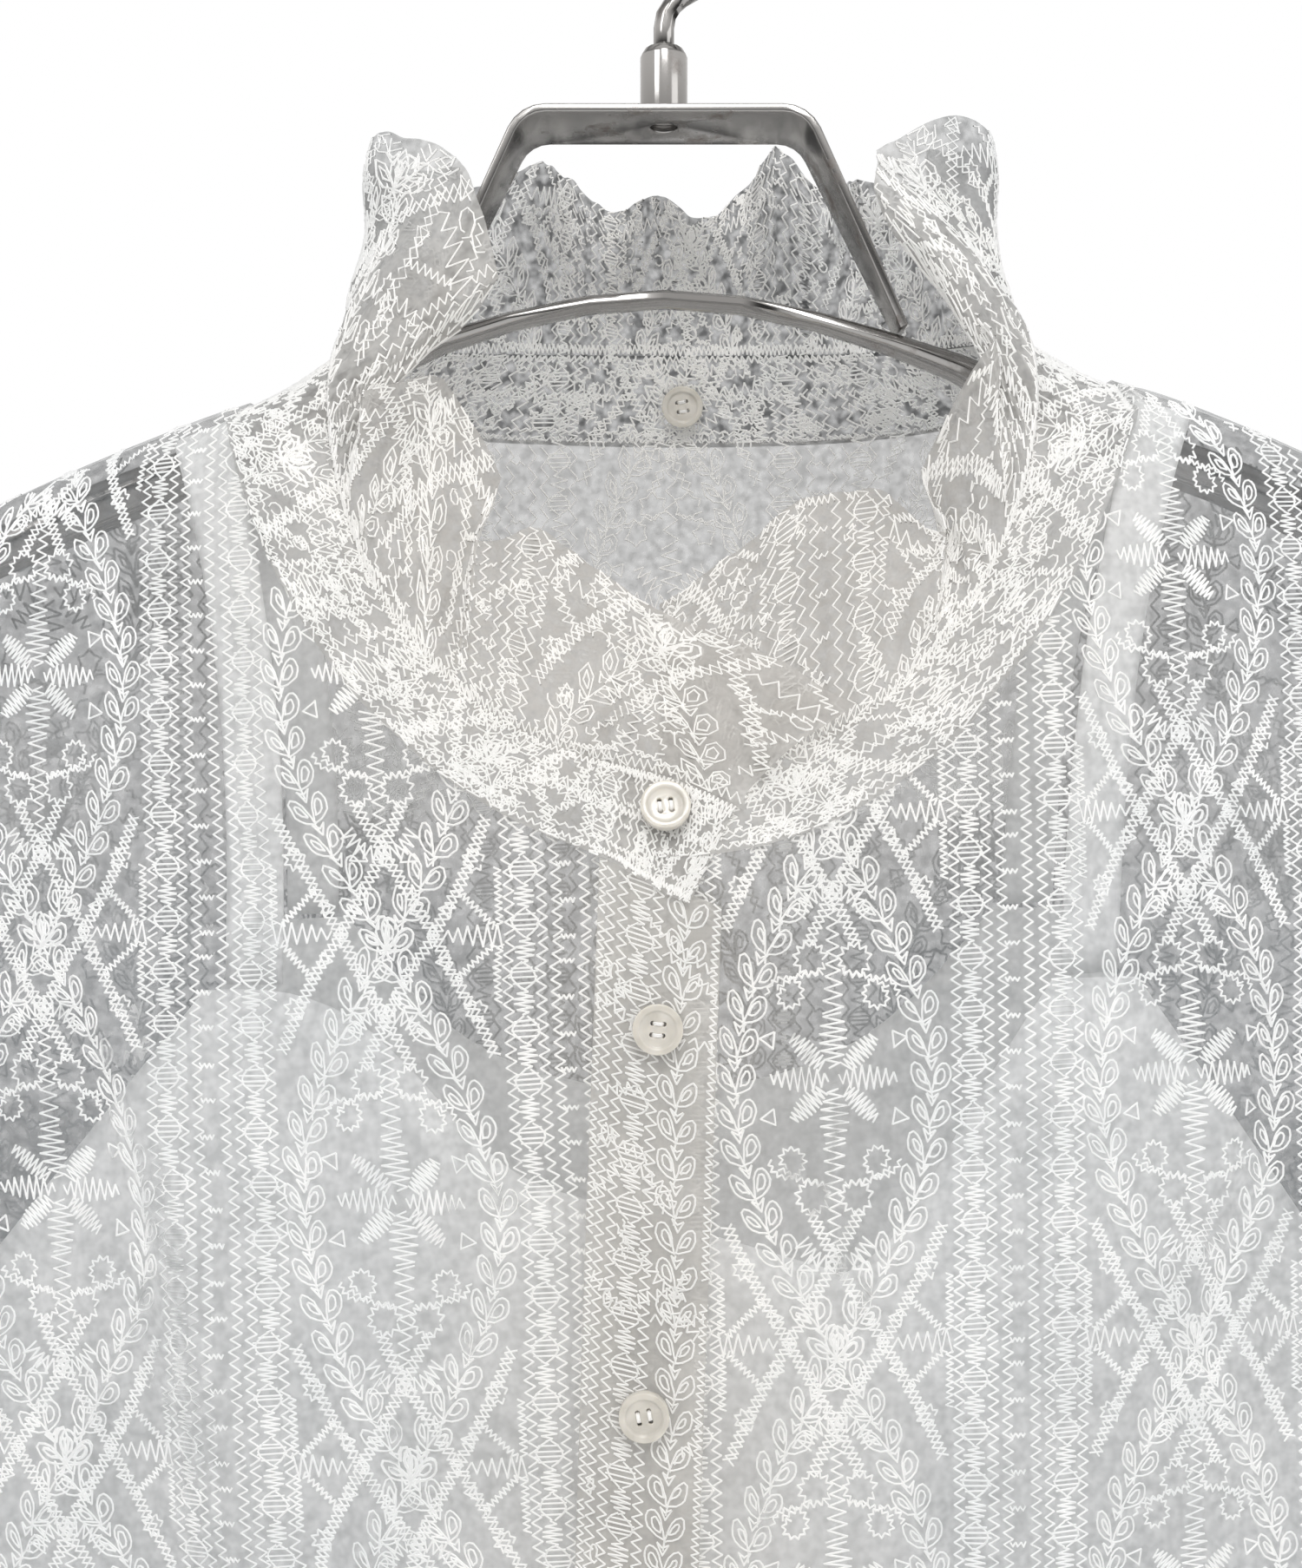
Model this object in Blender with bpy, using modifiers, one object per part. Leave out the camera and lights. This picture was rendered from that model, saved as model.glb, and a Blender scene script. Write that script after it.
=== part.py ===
"""Ruffle-collar lace blouse with its camisole lining, hanging on a steel clothes hanger.

Metres, +Z up, front facing -Y, +X on the viewer's right. The origin is the inside top of the hook, on the rail.
Each cloth piece is a wall built on one shared surface, so that neighbouring pieces meet at their seams.
"""

import math

import bmesh
import bpy
import numpy as np
from mathutils import Vector

# Cloth and seams
WALL = 0.0012
SEAM_GAP = 0.0003
LAYER_STEP = WALL + SEAM_GAP
BAND_LAYER_STEP = 0.0025
HEM_Z = -0.736
BODY_ROUNDNESS = 2.2
SHOULDER_SPAN = 0.195

# The garment's sections: height, half width, depth of front and back, thinning towards the shoulders
BODY_SECTIONS = [
    # z, half_width, front_depth, back_depth, shoulder_thinning
    (-0.736, 0.245, 0.046, 0.044, 0.05),
    (-0.600, 0.238, 0.045, 0.043, 0.05),
    (-0.480, 0.232, 0.047, 0.043, 0.08),
    (-0.375, 0.235, 0.051, 0.044, 0.15),
    (-0.300, 0.243, 0.053, 0.045, 0.30),
    (-0.240, 0.240, 0.051, 0.046, 0.45),
    (-0.205, 0.228, 0.049, 0.046, 0.55),
    (-0.187, 0.212, 0.048, 0.046, 0.60),
    (-0.178, 0.195, 0.047, 0.046, 0.60),
    (-0.162, 0.159, 0.046, 0.046, 0.60),
    (-0.1545, 0.143, 0.046, 0.046, 0.60),
    (-0.138, 0.1005, 0.045, 0.046, 0.60),
]
# The middle of the garment wanders a little off the hanger's middle
MIDDLE_LINE = [
    # z, x
    (-0.736, -0.004),
    (-0.360, -0.002),
    (-0.250, 0.002),
    (-0.150, 0.004),
]
# The cloth and the arm rise a little on the viewer's right
RIGHT_LIFT, LIFT_FROM_X, LIFT_TO_X, LIFT_FROM_Z, LIFT_TO_Z = 0.0060, 0.045, 0.120, -0.360, -0.200
# The line of the buttons, which leans to the viewer's left
BUTTON_LINE = [
    # z, x
    (-0.736, -0.0090),
    (-0.500, -0.0080),
    (-0.3564, -0.0044),
    (-0.2772, -0.0016),
    (-0.2324, 0.0000),
]
ARMHOLE = [
    # z, x from the garment's middle
    (-0.375, 0.235),
    (-0.360, 0.225),
    (-0.340, 0.216),
    (-0.300, 0.206),
    (-0.250, 0.200),
    (-0.210, 0.197),
    (-0.178, 0.195),
]
UNDERARM_Z, SHOULDER_Z, NECK_SIDE_Z = -0.375, -0.178, -0.138
ROWS_TO_UNDERARM, SHOULDER_COLUMNS = 9, 6

# Soft folds of the body: top end, bottom end, half width of the fold, height outwards, side
BODY_FOLDS = [
    # x_top, z_top, x_low, z_low, half_width, height, side
    (-0.141, -0.262, -0.085, -0.460, 0.014, -0.0060, -1),
    (-0.116, -0.290, -0.060, -0.480, 0.014, 0.0055, -1),
    (-0.092, -0.430, -0.086, -0.736, 0.020, -0.0050, -1),
    (-0.165, -0.340, -0.165, -0.736, 0.018, 0.0055, -1),
    (0.150, -0.270, 0.120, -0.480, 0.014, -0.0050, -1),
    (0.095, -0.360, 0.088, -0.736, 0.018, -0.0045, -1),
    (0.168, -0.350, 0.168, -0.736, 0.018, 0.0055, -1),
    (0.050, -0.450, 0.048, -0.736, 0.020, 0.0040, -1),
    (-0.040, -0.430, -0.046, -0.736, 0.018, 0.0035, -1),
    (-0.140, -0.260, -0.100, -0.520, 0.016, -0.0055, 1),
    (0.145, -0.270, 0.110, -0.500, 0.016, -0.0050, 1),
    (-0.040, -0.330, -0.060, -0.736, 0.022, 0.0050, 1),
    (0.050, -0.360, 0.062, -0.736, 0.020, 0.0045, 1),
    (0.000, -0.420, 0.004, -0.736, 0.018, -0.0045, 1),
    (-0.160, -0.400, -0.165, -0.736, 0.018, 0.0050, 1),
    (0.160, -0.400, 0.165, -0.736, 0.018, 0.0050, 1),
]

# Neck seam and collar band
NECK_HALF_WIDTH = 0.1005
NECK_DROP = 0.104
NECK_DROP_POWER = 1.35
BAND_TOP_WIDTH_SHARE = 0.796
BAND_TOP_DEPTH_SHARE = 0.86
BAND_TOP_SIDE_Z = -0.125
BAND_TOP_DROP = 0.099
BAND_TOP_DROP_POWER = 0.9
BAND_TOP_BACK_RISE = 0.007
BAND_SEGMENTS_A_QUARTER = 8
BAND_ROWS = 2
LAYER_RAMP = 0.004
JOIN_Z = -0.242
PLACKET_WIDTH = 0.0248
UNDERLAP, PLACKET_COVER = 0.0110, 0.0010
BAND_OVER = [
    # low_x, low_z, high_x, high_z of the band's buttoned end, which lies over the other end
    (-0.0075, -0.2440, -0.0050, -0.2238),
    (-0.0005, -0.2478, 0.0055, -0.2268),
    (0.0055, -0.2506, 0.0148, -0.2315),
]
PLACKET_TOP = [-0.2418, -0.2492, -0.2522]
PLACKET_ROWS = 18

# The ruffle's waves, round the band from the front by the viewer's right: where the top edge goes
RUFFLE_WAVES = [
    # angle, reach outwards, height, shift along the band
    (-3, -0.034, 0.036, 0.000),
    (8, -0.040, 0.048, 0.004),
    (20, -0.038, 0.056, 0.006),
    (31, -0.028, 0.050, 0.008),
    (42, -0.005, 0.026, 0.006),
    (51, -0.024, 0.032, 0.000),
    (61, -0.003, 0.044, 0.000),
    (71, -0.022, 0.044, -0.004),
    (81, -0.036, 0.048, -0.006),
    (90, -0.035, 0.043, -0.004),
    (98, -0.017, 0.050, -0.004),
    (108, -0.001, 0.044, 0.000),
    (120, -0.018, 0.042, 0.000),
    (132, 0.002, 0.038, 0.000),
    (143, -0.014, 0.038, 0.000),
    (152, 0.000, 0.039, 0.000),
    (161, -0.014, 0.046, 0.000),
    (168, 0.004, 0.042, 0.000),
    (175, -0.006, 0.031, 0.000),
    (184, -0.012, 0.035, 0.000),
    (192, 0.004, 0.036, 0.000),
    (200, -0.006, 0.040, 0.000),
    (208, -0.015, 0.043, 0.000),
    (219, 0.003, 0.040, 0.000),
    (230, -0.016, 0.040, 0.000),
    (242, 0.002, 0.043, 0.000),
    (253, -0.004, 0.045, 0.000),
    (262, -0.010, 0.048, 0.004),
    (271, -0.030, 0.041, 0.006),
    (281, -0.037, 0.032, 0.008),
    (290, -0.020, 0.030, 0.002),
    (298, -0.002, 0.032, 0.000),
    (308, -0.028, 0.053, 0.000),
    (317, -0.033, 0.041, 0.006),
    (325, -0.009, 0.032, 0.000),
    (334, -0.028, 0.044, 0.000),
    (345, -0.025, 0.037, 0.006),
    (356, -0.012, 0.028, 0.014),
    (370, -0.004, 0.020, 0.024),
]
RUFFLE_STEPS_A_WAVE_SIDE = 3
RUFFLE_ROWS = 4
RUFFLE_LEAN_POWER = 1.25
RUFFLE_LIFT = 0.0017

# Sleeves: the outer and the inner edge as seen from the front, and half the depth
SLEEVE_SECTIONS = [
    # outer_x, outer_z, inner_x, inner_z, half_depth
    (0.195, -0.178, 0.235, -0.375, 0.028),
    (0.214, -0.187, 0.2362, -0.379, 0.030),
    (0.236, -0.208, 0.2378, -0.384, 0.031),
    (0.253, -0.245, 0.2400, -0.393, 0.032),
    (0.264, -0.295, 0.2425, -0.408, 0.033),
    (0.273, -0.350, 0.2455, -0.432, 0.033),
    (0.282, -0.410, 0.2490, -0.468, 0.032),
    (0.291, -0.475, 0.2530, -0.515, 0.031),
    (0.300, -0.545, 0.2575, -0.570, 0.030),
    (0.307, -0.610, 0.2620, -0.625, 0.030),
    (0.309, -0.660, 0.2660, -0.668, 0.028),
    (0.303, -0.692, 0.2720, -0.694, 0.022),
]
SLEEVE_STEPS_A_SIDE = 9
SLEEVE_STEP_POWER = 1.25
SLEEVE_BLEND_SECTIONS = 4
# Sleeve folds: angle round the tube at the top and at the bottom, half width in degrees, height
SLEEVE_FOLDS = [
    # angle_top, angle_low, half_width_deg, height
    (55, 40, 22, -0.0045),
    (105, 95, 24, 0.0040),
    (250, 235, 24, -0.0045),
    (305, 300, 22, 0.0040),
]
CUFF_HEIGHT, CUFF_TAPER = 0.050, 0.03

# Camisole lining
CAMISOLE_SIDE_INSET = 0.010
CAMISOLE_DEPTH_INSET = 0.0080
CAMISOLE_HEM_Z = -0.690
CAMISOLE_FRONT_TOP = [
    # share of half width, z
    (-1.00, -0.402), (-0.80, -0.372), (-0.58, -0.315), (-0.43, -0.271), (-0.35, -0.270),
    (-0.27, -0.2775), (-0.19, -0.2980), (-0.13, -0.3110), (-0.05, -0.3150), (0.08, -0.3240),
    (0.17, -0.3300), (0.22, -0.3230), (0.26, -0.3020), (0.31, -0.2830), (0.35, -0.270),
    (0.43, -0.271), (0.58, -0.315), (0.80, -0.372), (1.00, -0.402),
]
CAMISOLE_BACK_TOP = [
    # share of half width, z
    (-1.00, -0.402), (-0.80, -0.370), (-0.58, -0.312), (-0.43, -0.2610), (-0.35, -0.260),
    (-0.24, -0.2900), (-0.12, -0.3020), (0.00, -0.3050), (0.12, -0.3020), (0.24, -0.2900),
    (0.35, -0.260), (0.43, -0.2610), (0.58, -0.312), (0.80, -0.370), (1.00, -0.402),
]
CAMISOLE_ROWS = 8
STRAP_SHARE, STRAP_HALF_WIDTH = 0.39, 0.0065
STRAP_SHOULDER_X = 0.1112
STRAP_FRONT_Z, STRAP_BACK_Z = -0.2695, -0.2595
STRAP_THICKNESS = 0.0010
STRAP_STEPS = 9
STRAP_SHOULDER_INSET = 0.0031

# Buttons
BUTTON_RADIUS, BUTTON_THICKNESS = 0.0052, 0.0022
BUTTON_SEGMENTS = 16
BUTTON_FIRST_GAP, BUTTON_PITCH, BUTTON_COUNT = 0.0448, 0.0792, 7
BAND_BUTTON_Z = -0.2324

# Hanger
HOOK_RADIUS, HOOK_WIRE = 0.0225, 0.0024
HOOK_START_DEG, HOOK_END_DEG, HOOK_STEPS = -58, 205, 22
FERRULE_RADIUS, FERRULE_TOP_Z, FERRULE_NECK_RADIUS = 0.0055, -0.0549, 0.0028
BRACKET_TOP_Z, BRACKET_THICKNESS, BRACKET_HALF_DEPTH = -0.072, 0.0020, 0.0115
BRACKET_CORNER_X, BRACKET_CORNER_RADIUS, BRACKET_HOLE_RADIUS = 0.0325, 0.0085, 0.0032
BRACKET_FOOT_X, BRACKET_FOOT_Z, BRACKET_FOOT_HALF_DEPTH = 0.0555, -0.1215, 0.0060
BAR_SECTIONS = [
    # x, z, half_height, half_depth
    (0.000, -0.1139, 0.0020, 0.0045),
    (0.018, -0.1153, 0.0020, 0.0046),
    (0.036, -0.1192, 0.0021, 0.0048),
    (0.052, -0.1242, 0.0024, 0.0052),
    (0.068, -0.1311, 0.0032, 0.0055),
    (0.084, -0.1406, 0.0044, 0.0058),
    (0.100, -0.1500, 0.0054, 0.0062),
    (0.130, -0.1619, 0.0058, 0.0068),
    (0.160, -0.1751, 0.0058, 0.0068),
    (0.181, -0.1845, 0.0054, 0.0060),
    (0.188, -0.1875, 0.0036, 0.0042),
]
BAR_SIDES = 10


def clear_scene():
    for obj in list(bpy.data.objects):
        bpy.data.objects.remove(obj, do_unlink=True)


def curve_through(points):
    """A smooth function through (place, value) rows, which never overshoots them."""
    places, values = np.array(sorted(points), float).T
    steps = np.diff(values) / np.diff(places)
    slopes = np.zeros(len(values))
    slopes[0], slopes[-1] = steps[0], steps[-1]
    for i in range(1, len(values) - 1):
        if steps[i - 1] * steps[i] > 0:
            slopes[i] = 2 * steps[i - 1] * steps[i] / (steps[i - 1] + steps[i])

    def at(place):
        place = min(max(place, places[0]), places[-1])
        i = min(int(np.searchsorted(places, place, side="right")) - 1, len(places) - 2)
        width = places[i + 1] - places[i]
        t = (place - places[i]) / width
        return (
            (1 + 2 * t) * (1 - t) ** 2 * values[i]
            + t * (1 - t) ** 2 * width * slopes[i]
            + t * t * (3 - 2 * t) * values[i + 1]
            + t * t * (t - 1) * width * slopes[i + 1]
        )

    return at


def column(rows, index):
    return curve_through([(row[0], row[index]) for row in rows])


half_width = column(BODY_SECTIONS, 1)
front_depth = column(BODY_SECTIONS, 2)
back_depth = column(BODY_SECTIONS, 3)
shoulder_thinning = column(BODY_SECTIONS, 4)
middle_x = column(MIDDLE_LINE, 1)
button_x = column(BUTTON_LINE, 1)
armhole_x = column(ARMHOLE, 1)


def smooth(t):
    t = min(max(t, 0.0), 1.0)
    return t * t * (3 - 2 * t)


def fold_height(x, z, side):
    """How far the soft folds push the cloth outwards at a place."""
    total = 0.0
    for x_top, z_top, x_low, z_low, width, height, fold_side in BODY_FOLDS:
        if fold_side != side or z > z_top:
            continue
        share = (z_top - z) / (z_top - z_low)
        x_line = x_top + (x_low - x_top) * min(share, 1.0)
        fade = smooth(share / 0.35)
        if z_low > HEM_Z:
            fade *= smooth((1 - share) / 0.35)
        total += height * fade * math.exp(-(((x - x_line) / width) ** 2))
    return total


def depth_at(across, z, side, inset=0.0):
    """How far the cloth stands from the middle plane, across metres from the garment's middle."""
    width = half_width(z) - (CAMISOLE_SIDE_INSET if inset else 0.0)
    share = min(abs(across) / width, 1.0)
    full = (front_depth if side < 0 else back_depth)(z) - inset
    thin = 1 - shoulder_thinning(z) * (min(abs(across), SHOULDER_SPAN) / SHOULDER_SPAN) ** 2
    round_off = (1 - share**BODY_ROUNDNESS) ** (1 / BODY_ROUNDNESS)
    fold = fold_height(across, z, side) * (1 - share**4)
    return full * thin * round_off + fold * min(1.0, 2 * round_off)


def body_point(across, z, side, inset=0.0):
    return np.array([middle_x(z) + across, side * depth_at(across, z, side, inset), z])


def lift_at(x, z):
    across = smooth((x - LIFT_FROM_X) / (LIFT_TO_X - LIFT_FROM_X))
    return RIGHT_LIFT * across * smooth((z - LIFT_FROM_Z) / (LIFT_TO_Z - LIFT_FROM_Z))


def lifted(grid):
    """The finished place of points that were worked out on the level garment."""
    grid = np.array(grid, float)
    for place in np.ndindex(grid.shape[:-1]):
        grid[place][2] += lift_at(grid[place][0], grid[place][2])
    return grid


def seam_across_z(angle):
    """The neck seam, by its angle from the front towards the viewer's right."""
    front = max(math.cos(angle), 0.0)
    back = max(-math.cos(angle), 0.0)
    z = NECK_SIDE_Z - NECK_DROP * front**NECK_DROP_POWER - 0.001 * back
    return NECK_HALF_WIDTH * math.sin(angle), z


def seam_point(angle):
    across, z = seam_across_z(angle)
    return body_point(across, z, -1 if math.cos(angle) > 0 else 1)


def band_top_point(angle):
    low = seam_point(angle)
    front = max(math.cos(angle), 0.0)
    back = max(-math.cos(angle), 0.0)
    z = BAND_TOP_SIDE_Z - BAND_TOP_DROP * front**BAND_TOP_DROP_POWER + BAND_TOP_BACK_RISE * back
    middle = middle_x(NECK_SIDE_Z)
    x = middle + (low[0] - middle) * BAND_TOP_WIDTH_SHARE
    return np.array([x, low[1] * BAND_TOP_DEPTH_SHARE, z])


def neck_angles(start):
    """Angles along one front's neck seam, from its middle edge to the shoulder."""
    return np.linspace(start, math.pi / 2, BAND_SEGMENTS_A_QUARTER + 1)


def front_edge_angle(x):
    """The angle at which the front neck seam passes a place across the front."""
    return math.asin((x - middle_x(JOIN_Z)) / NECK_HALF_WIDTH)


def coons(bottom, top, inner, outer):
    """A grid of flat points inside four edges, each a list that starts at the hem or the middle."""
    bottom, top, inner, outer = (np.array(edge, float) for edge in (bottom, top, inner, outer))
    rows, columns = len(inner), len(bottom)
    v = arc_share(inner) * 0.5 + arc_share(outer) * 0.5
    u = arc_share(bottom) * 0.5 + arc_share(top) * 0.5
    grid = np.empty((rows, columns, 2))
    for i in range(rows):
        for j in range(columns):
            s, t = u[j], v[i]
            grid[i, j] = (
                (1 - t) * bottom[j] + t * top[j] + (1 - s) * inner[i] + s * outer[i]
                - (1 - s) * (1 - t) * bottom[0] - s * (1 - t) * bottom[-1]
                - (1 - s) * t * top[0] - s * t * top[-1]
            )
    return grid


def arc_share(edge):
    lengths = np.linalg.norm(np.diff(edge, axis=0), axis=1)
    along = np.concatenate([[0.0], np.cumsum(lengths)])
    return along / along[-1]


def half_panel(start_angle, inner_x, side):
    """Half of the body cloth on the viewer's right, as (across, z) from the hem up and from the middle out."""
    angles = np.linspace(start_angle, math.pi / 2, BAND_SEGMENTS_A_QUARTER + 1)
    top = [seam_across_z(angle) for angle in angles]
    for step in range(1, SHOULDER_COLUMNS + 1):
        z = NECK_SIDE_Z + (SHOULDER_Z - NECK_SIDE_Z) * step / SHOULDER_COLUMNS
        top.append((half_width(z), z))
    outer = []
    for step in range(ROWS_TO_UNDERARM):
        z = HEM_Z + (UNDERARM_Z - HEM_Z) * step / ROWS_TO_UNDERARM
        outer.append((half_width(z), z))
    outer += [(armhole_x(z), z) for z in armhole_heights()]
    heights = HEM_Z + (top[0][1] - HEM_Z) * arc_share(np.array(outer))
    inner = [(inner_x(z), z) for z in heights]
    inner[-1] = top[0]
    columns = len(top)
    bottom = []
    for j in range(columns):
        u = j / (columns - 1)
        share = 0.45 * u + 0.55 * math.sin(u * math.pi / 2)
        bottom.append((inner[0][0] + (outer[0][0] - inner[0][0]) * share, HEM_Z))
    return coons(bottom, top, inner, outer)


def armhole_heights():
    """The heights at which sleeve and body meet, from the underarm up."""
    turns = sleeve_turns()[SLEEVE_STEPS_A_SIDE::-1]
    return [SHOULDER_Z + (UNDERARM_Z - SHOULDER_Z) * (1 - math.cos(turn)) / 2 for turn in turns]


def sleeve_turns():
    """Angles round a sleeve from the shoulder by the front, closer together at the shoulder."""
    steps = [step / SLEEVE_STEPS_A_SIDE for step in range(SLEEVE_STEPS_A_SIDE + 1)]
    front = [math.pi * step**SLEEVE_STEP_POWER for step in steps]
    return front + [2 * math.pi - turn for turn in front[-2:0:-1]]


def on_body(flat, side, mirror=1):
    return np.array([[body_point(mirror * a, z, side) for a, z in row] for row in flat])


def front_right_grid():
    """The wearer's right front, on the viewer's left, which ends under the placket strip."""
    angle = -front_edge_angle(button_x(JOIN_Z) - PLACKET_WIDTH / 2 + SEAM_GAP)

    def inner(z):
        return -(button_x(z) - PLACKET_WIDTH / 2 + SEAM_GAP - middle_x(z))

    return on_body(half_panel(angle, inner, -1), -1, mirror=-1)


def front_left_grid():
    """The wearer's left front, whose middle edge lies under the placket strip."""
    angle = front_edge_angle(button_x(JOIN_Z) - UNDERLAP)

    def inner(z):
        return button_x(z) - UNDERLAP - middle_x(z)

    return on_body(half_panel(angle, inner, -1), -1)


def back_grid():
    flat = half_panel(math.pi, lambda z: 0.0, 1)
    flat[:, 0, 0] = 0.0
    right = on_body(flat, 1)
    left = on_body(flat, 1, mirror=-1)
    return np.concatenate([left[:, :0:-1], right], axis=1)


def sleeve_ring_zero(turn, mirror):
    z = SHOULDER_Z + (UNDERARM_Z - SHOULDER_Z) * (1 - math.cos(turn)) / 2
    side = -1 if math.sin(turn) >= 0 else 1
    return body_point(mirror * armhole_x(z), z, side)


def sleeve_fold(turn, share):
    total = 0.0
    for angle_top, angle_low, width, height in SLEEVE_FOLDS:
        angle = angle_top + (angle_low - angle_top) * share
        apart = (math.degrees(turn) - angle + 180) % 360 - 180
        total += height * math.exp(-((apart / width) ** 2))
    return total * smooth(share / 0.3) * (1 - 0.5 * smooth((share - 0.8) / 0.2))


def sleeve_grid(mirror):
    """Rings of a sleeve from the armhole down. They turn from the seam's plane to level."""
    rings = []
    count = len(SLEEVE_SECTIONS)
    for i, (outer_x, outer_z, inner_x, inner_z, depth) in enumerate(SLEEVE_SECTIONS):
        weight = smooth(i / SLEEVE_BLEND_SECTIONS)
        ring = []
        for turn in sleeve_turns():
            swell = 1 + sleeve_fold(turn, i / (count - 1)) / depth
            x = (outer_x + inner_x) / 2 + math.cos(turn) * (outer_x - inner_x) / 2 * swell
            z = (outer_z + inner_z) / 2 + math.cos(turn) * (outer_z - inner_z) / 2
            level = np.array([middle_x(z) + mirror * x, -math.sin(turn) * depth * swell, z])
            seam = sleeve_ring_zero(turn, mirror)
            shift = level - np.array([
                middle_x(z) + mirror * seam_line(turn)[0], -math.sin(turn) * SLEEVE_SECTIONS[0][4], seam_line(turn)[1],
            ])
            ring.append(seam + shift if i == 0 else (1 - weight) * (seam + shift) + weight * level)
        rings.append(ring)
    rings[0] = [sleeve_ring_zero(turn, mirror) for turn in sleeve_turns()]
    return np.array(rings)


def seam_line(turn):
    """The straight stand-in for the armhole, which the first sleeve sections are measured from."""
    outer_x, outer_z, inner_x, inner_z, _ = SLEEVE_SECTIONS[0]
    return (
        (outer_x + inner_x) / 2 + math.cos(turn) * (outer_x - inner_x) / 2,
        (outer_z + inner_z) / 2 + math.cos(turn) * (outer_z - inner_z) / 2,
    )


def cuff_grid(sleeve):
    """A plain band below the sleeve's last ring."""
    last = sleeve[-1]
    centre = last.mean(axis=0)
    rings = []
    for share in (0.0, 0.5, 1.0):
        ring = centre + (last - centre) * (1 - CUFF_TAPER * share)
        ring[:, 2] = last[:, 2] * (1 - share) + (centre[2] - CUFF_HEIGHT) * share
        rings.append(ring)
    return np.array(rings)


def band_face(x, z):
    """The middle face of the front band at a place, or of the body below the neck seam."""
    angle = front_edge_angle(x)
    low, high = seam_point(angle), band_top_point(angle)
    if z <= low[2]:
        return body_point(x - middle_x(z), z, -1)
    share = (z - low[2]) / (high[2] - low[2])
    return np.array([x, low[1] + (high[1] - low[1]) * share, z])


def band_over_column(low_x, low_z, high_x, high_z):
    """A column of the band's buttoned end, one layer in front of what it lies on."""
    column_points = []
    for row in range(BAND_ROWS + 1):
        share = row / BAND_ROWS
        face = band_face(low_x + (high_x - low_x) * share, low_z + (high_z - low_z) * share)
        column_points.append(face + np.array([0.0, -BAND_LAYER_STEP, 0.0]))
    return column_points


def band_grid():
    """The collar band, from its hidden end under the placket, round the neck, to its end on top."""
    quarter = BAND_SEGMENTS_A_QUARTER + 1
    right = list(neck_angles(front_edge_angle(button_x(JOIN_Z) - UNDERLAP)))
    back = list(np.linspace(math.pi / 2, 1.5 * math.pi, 2 * quarter - 1))
    edge = -front_edge_angle(button_x(JOIN_Z) - PLACKET_WIDTH / 2 + SEAM_GAP)
    left = [2 * math.pi - angle for angle in neck_angles(edge)][::-1]
    columns = []
    for angle in right + back[1:] + left[1:]:
        low, high = seam_point(angle), band_top_point(angle)
        lift = np.array([0.0, -LAYER_STEP, 0.0]) * smooth((angle - left[-3]) / (left[-1] - left[-3]))
        columns.append([low + lift + (high - low) * row / BAND_ROWS for row in range(BAND_ROWS + 1)])
    columns += [band_over_column(*row) for row in BAND_OVER]
    return np.array(columns).transpose(1, 0, 2)


def placket_grid():
    """The strip on top of the buttoned edge, a little in front of both fronts."""
    grid = []
    for step in np.linspace(0, 1, PLACKET_ROWS + 1):
        row = []
        for share, top_z in zip((-0.5, 0.0, 0.5), PLACKET_TOP):
            z = HEM_Z + (top_z - HEM_Z) * step
            x = button_x(z) + PLACKET_WIDTH * share
            x -= PLACKET_COVER if share < 0 else 0.0
            point = body_point(x - middle_x(z), z, -1)
            row.append(point + np.array([0.0, -LAYER_STEP, 0.0]))
        grid.append(row)
    return np.array(grid)


def ruffle_base(angle):
    """Where the ruffle is sewn: the band's top edge, and near the end that of the buttoned layer."""
    base = band_top_point(angle)
    over_x = [row[2] for row in BAND_OVER]
    over_z = [row[3] for row in BAND_OVER]
    start = button_x(JOIN_Z) - PLACKET_WIDTH / 2
    if angle < 1.5 * math.pi or base[0] < start:
        return base
    end = band_top_point(front_edge_angle(start))
    top_z = curve_through([(start, end[2]), *zip(over_x, over_z)])
    face = band_face(base[0], top_z(base[0]))
    return face + np.array([0.0, -BAND_LAYER_STEP * smooth((base[0] - start) / LAYER_RAMP), 0.0])


def ruffle_grid():
    angles = [row[0] for row in RUFFLE_WAVES]
    reach, height, shift = (column(RUFFLE_WAVES, index) for index in (1, 2, 3))
    places = []
    for first, second in zip(angles, angles[1:]):
        steps = np.arange(RUFFLE_STEPS_A_WAVE_SIDE) / RUFFLE_STEPS_A_WAVE_SIDE
        places += list(first + (second - first) * steps)
    places.append(angles[-1])
    grid = []
    for row in range(RUFFLE_ROWS + 1):
        share = row / RUFFLE_ROWS
        points = []
        for place in places:
            angle = math.radians(place)
            base = ruffle_base(angle)
            ahead = band_top_point(angle + 0.01) - band_top_point(angle - 0.01)
            along = np.array([ahead[0], ahead[1], 0.0]) / math.hypot(ahead[0], ahead[1])
            out = np.array([along[1], -along[0], 0.0])
            lean = share**RUFFLE_LEAN_POWER
            points.append(
                base
                + out * reach(place) * lean
                + along * shift(place) * lean
                + np.array([0.0, 0.0, RUFFLE_LIFT + height(place) * share])
            )
        grid.append(points)
    return np.array(grid)


def camisole_grid(top_rows, side):
    top_z = curve_through(top_rows)
    shares = sorted({row[0] for row in top_rows} | {-0.9, 0.9, -0.97, 0.97, -0.69, 0.69})
    grid = []
    for row in range(CAMISOLE_ROWS + 1):
        line = []
        for share in shares:
            z = CAMISOLE_HEM_Z + (top_z(share) - CAMISOLE_HEM_Z) * row / CAMISOLE_ROWS
            across = share * (half_width(z) - CAMISOLE_SIDE_INSET)
            line.append(body_point(across, z, side, CAMISOLE_DEPTH_INSET))
        grid.append(line)
    return np.array(grid)


def shoulder_z(across):
    """The height of the shoulder seam, by its distance from the garment's middle."""
    low, high = SHOULDER_Z, NECK_SIDE_Z
    for _ in range(30):
        middle = (low + high) / 2
        low, high = (low, middle) if half_width(middle) < across else (middle, high)
    return (low + high) / 2


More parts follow.
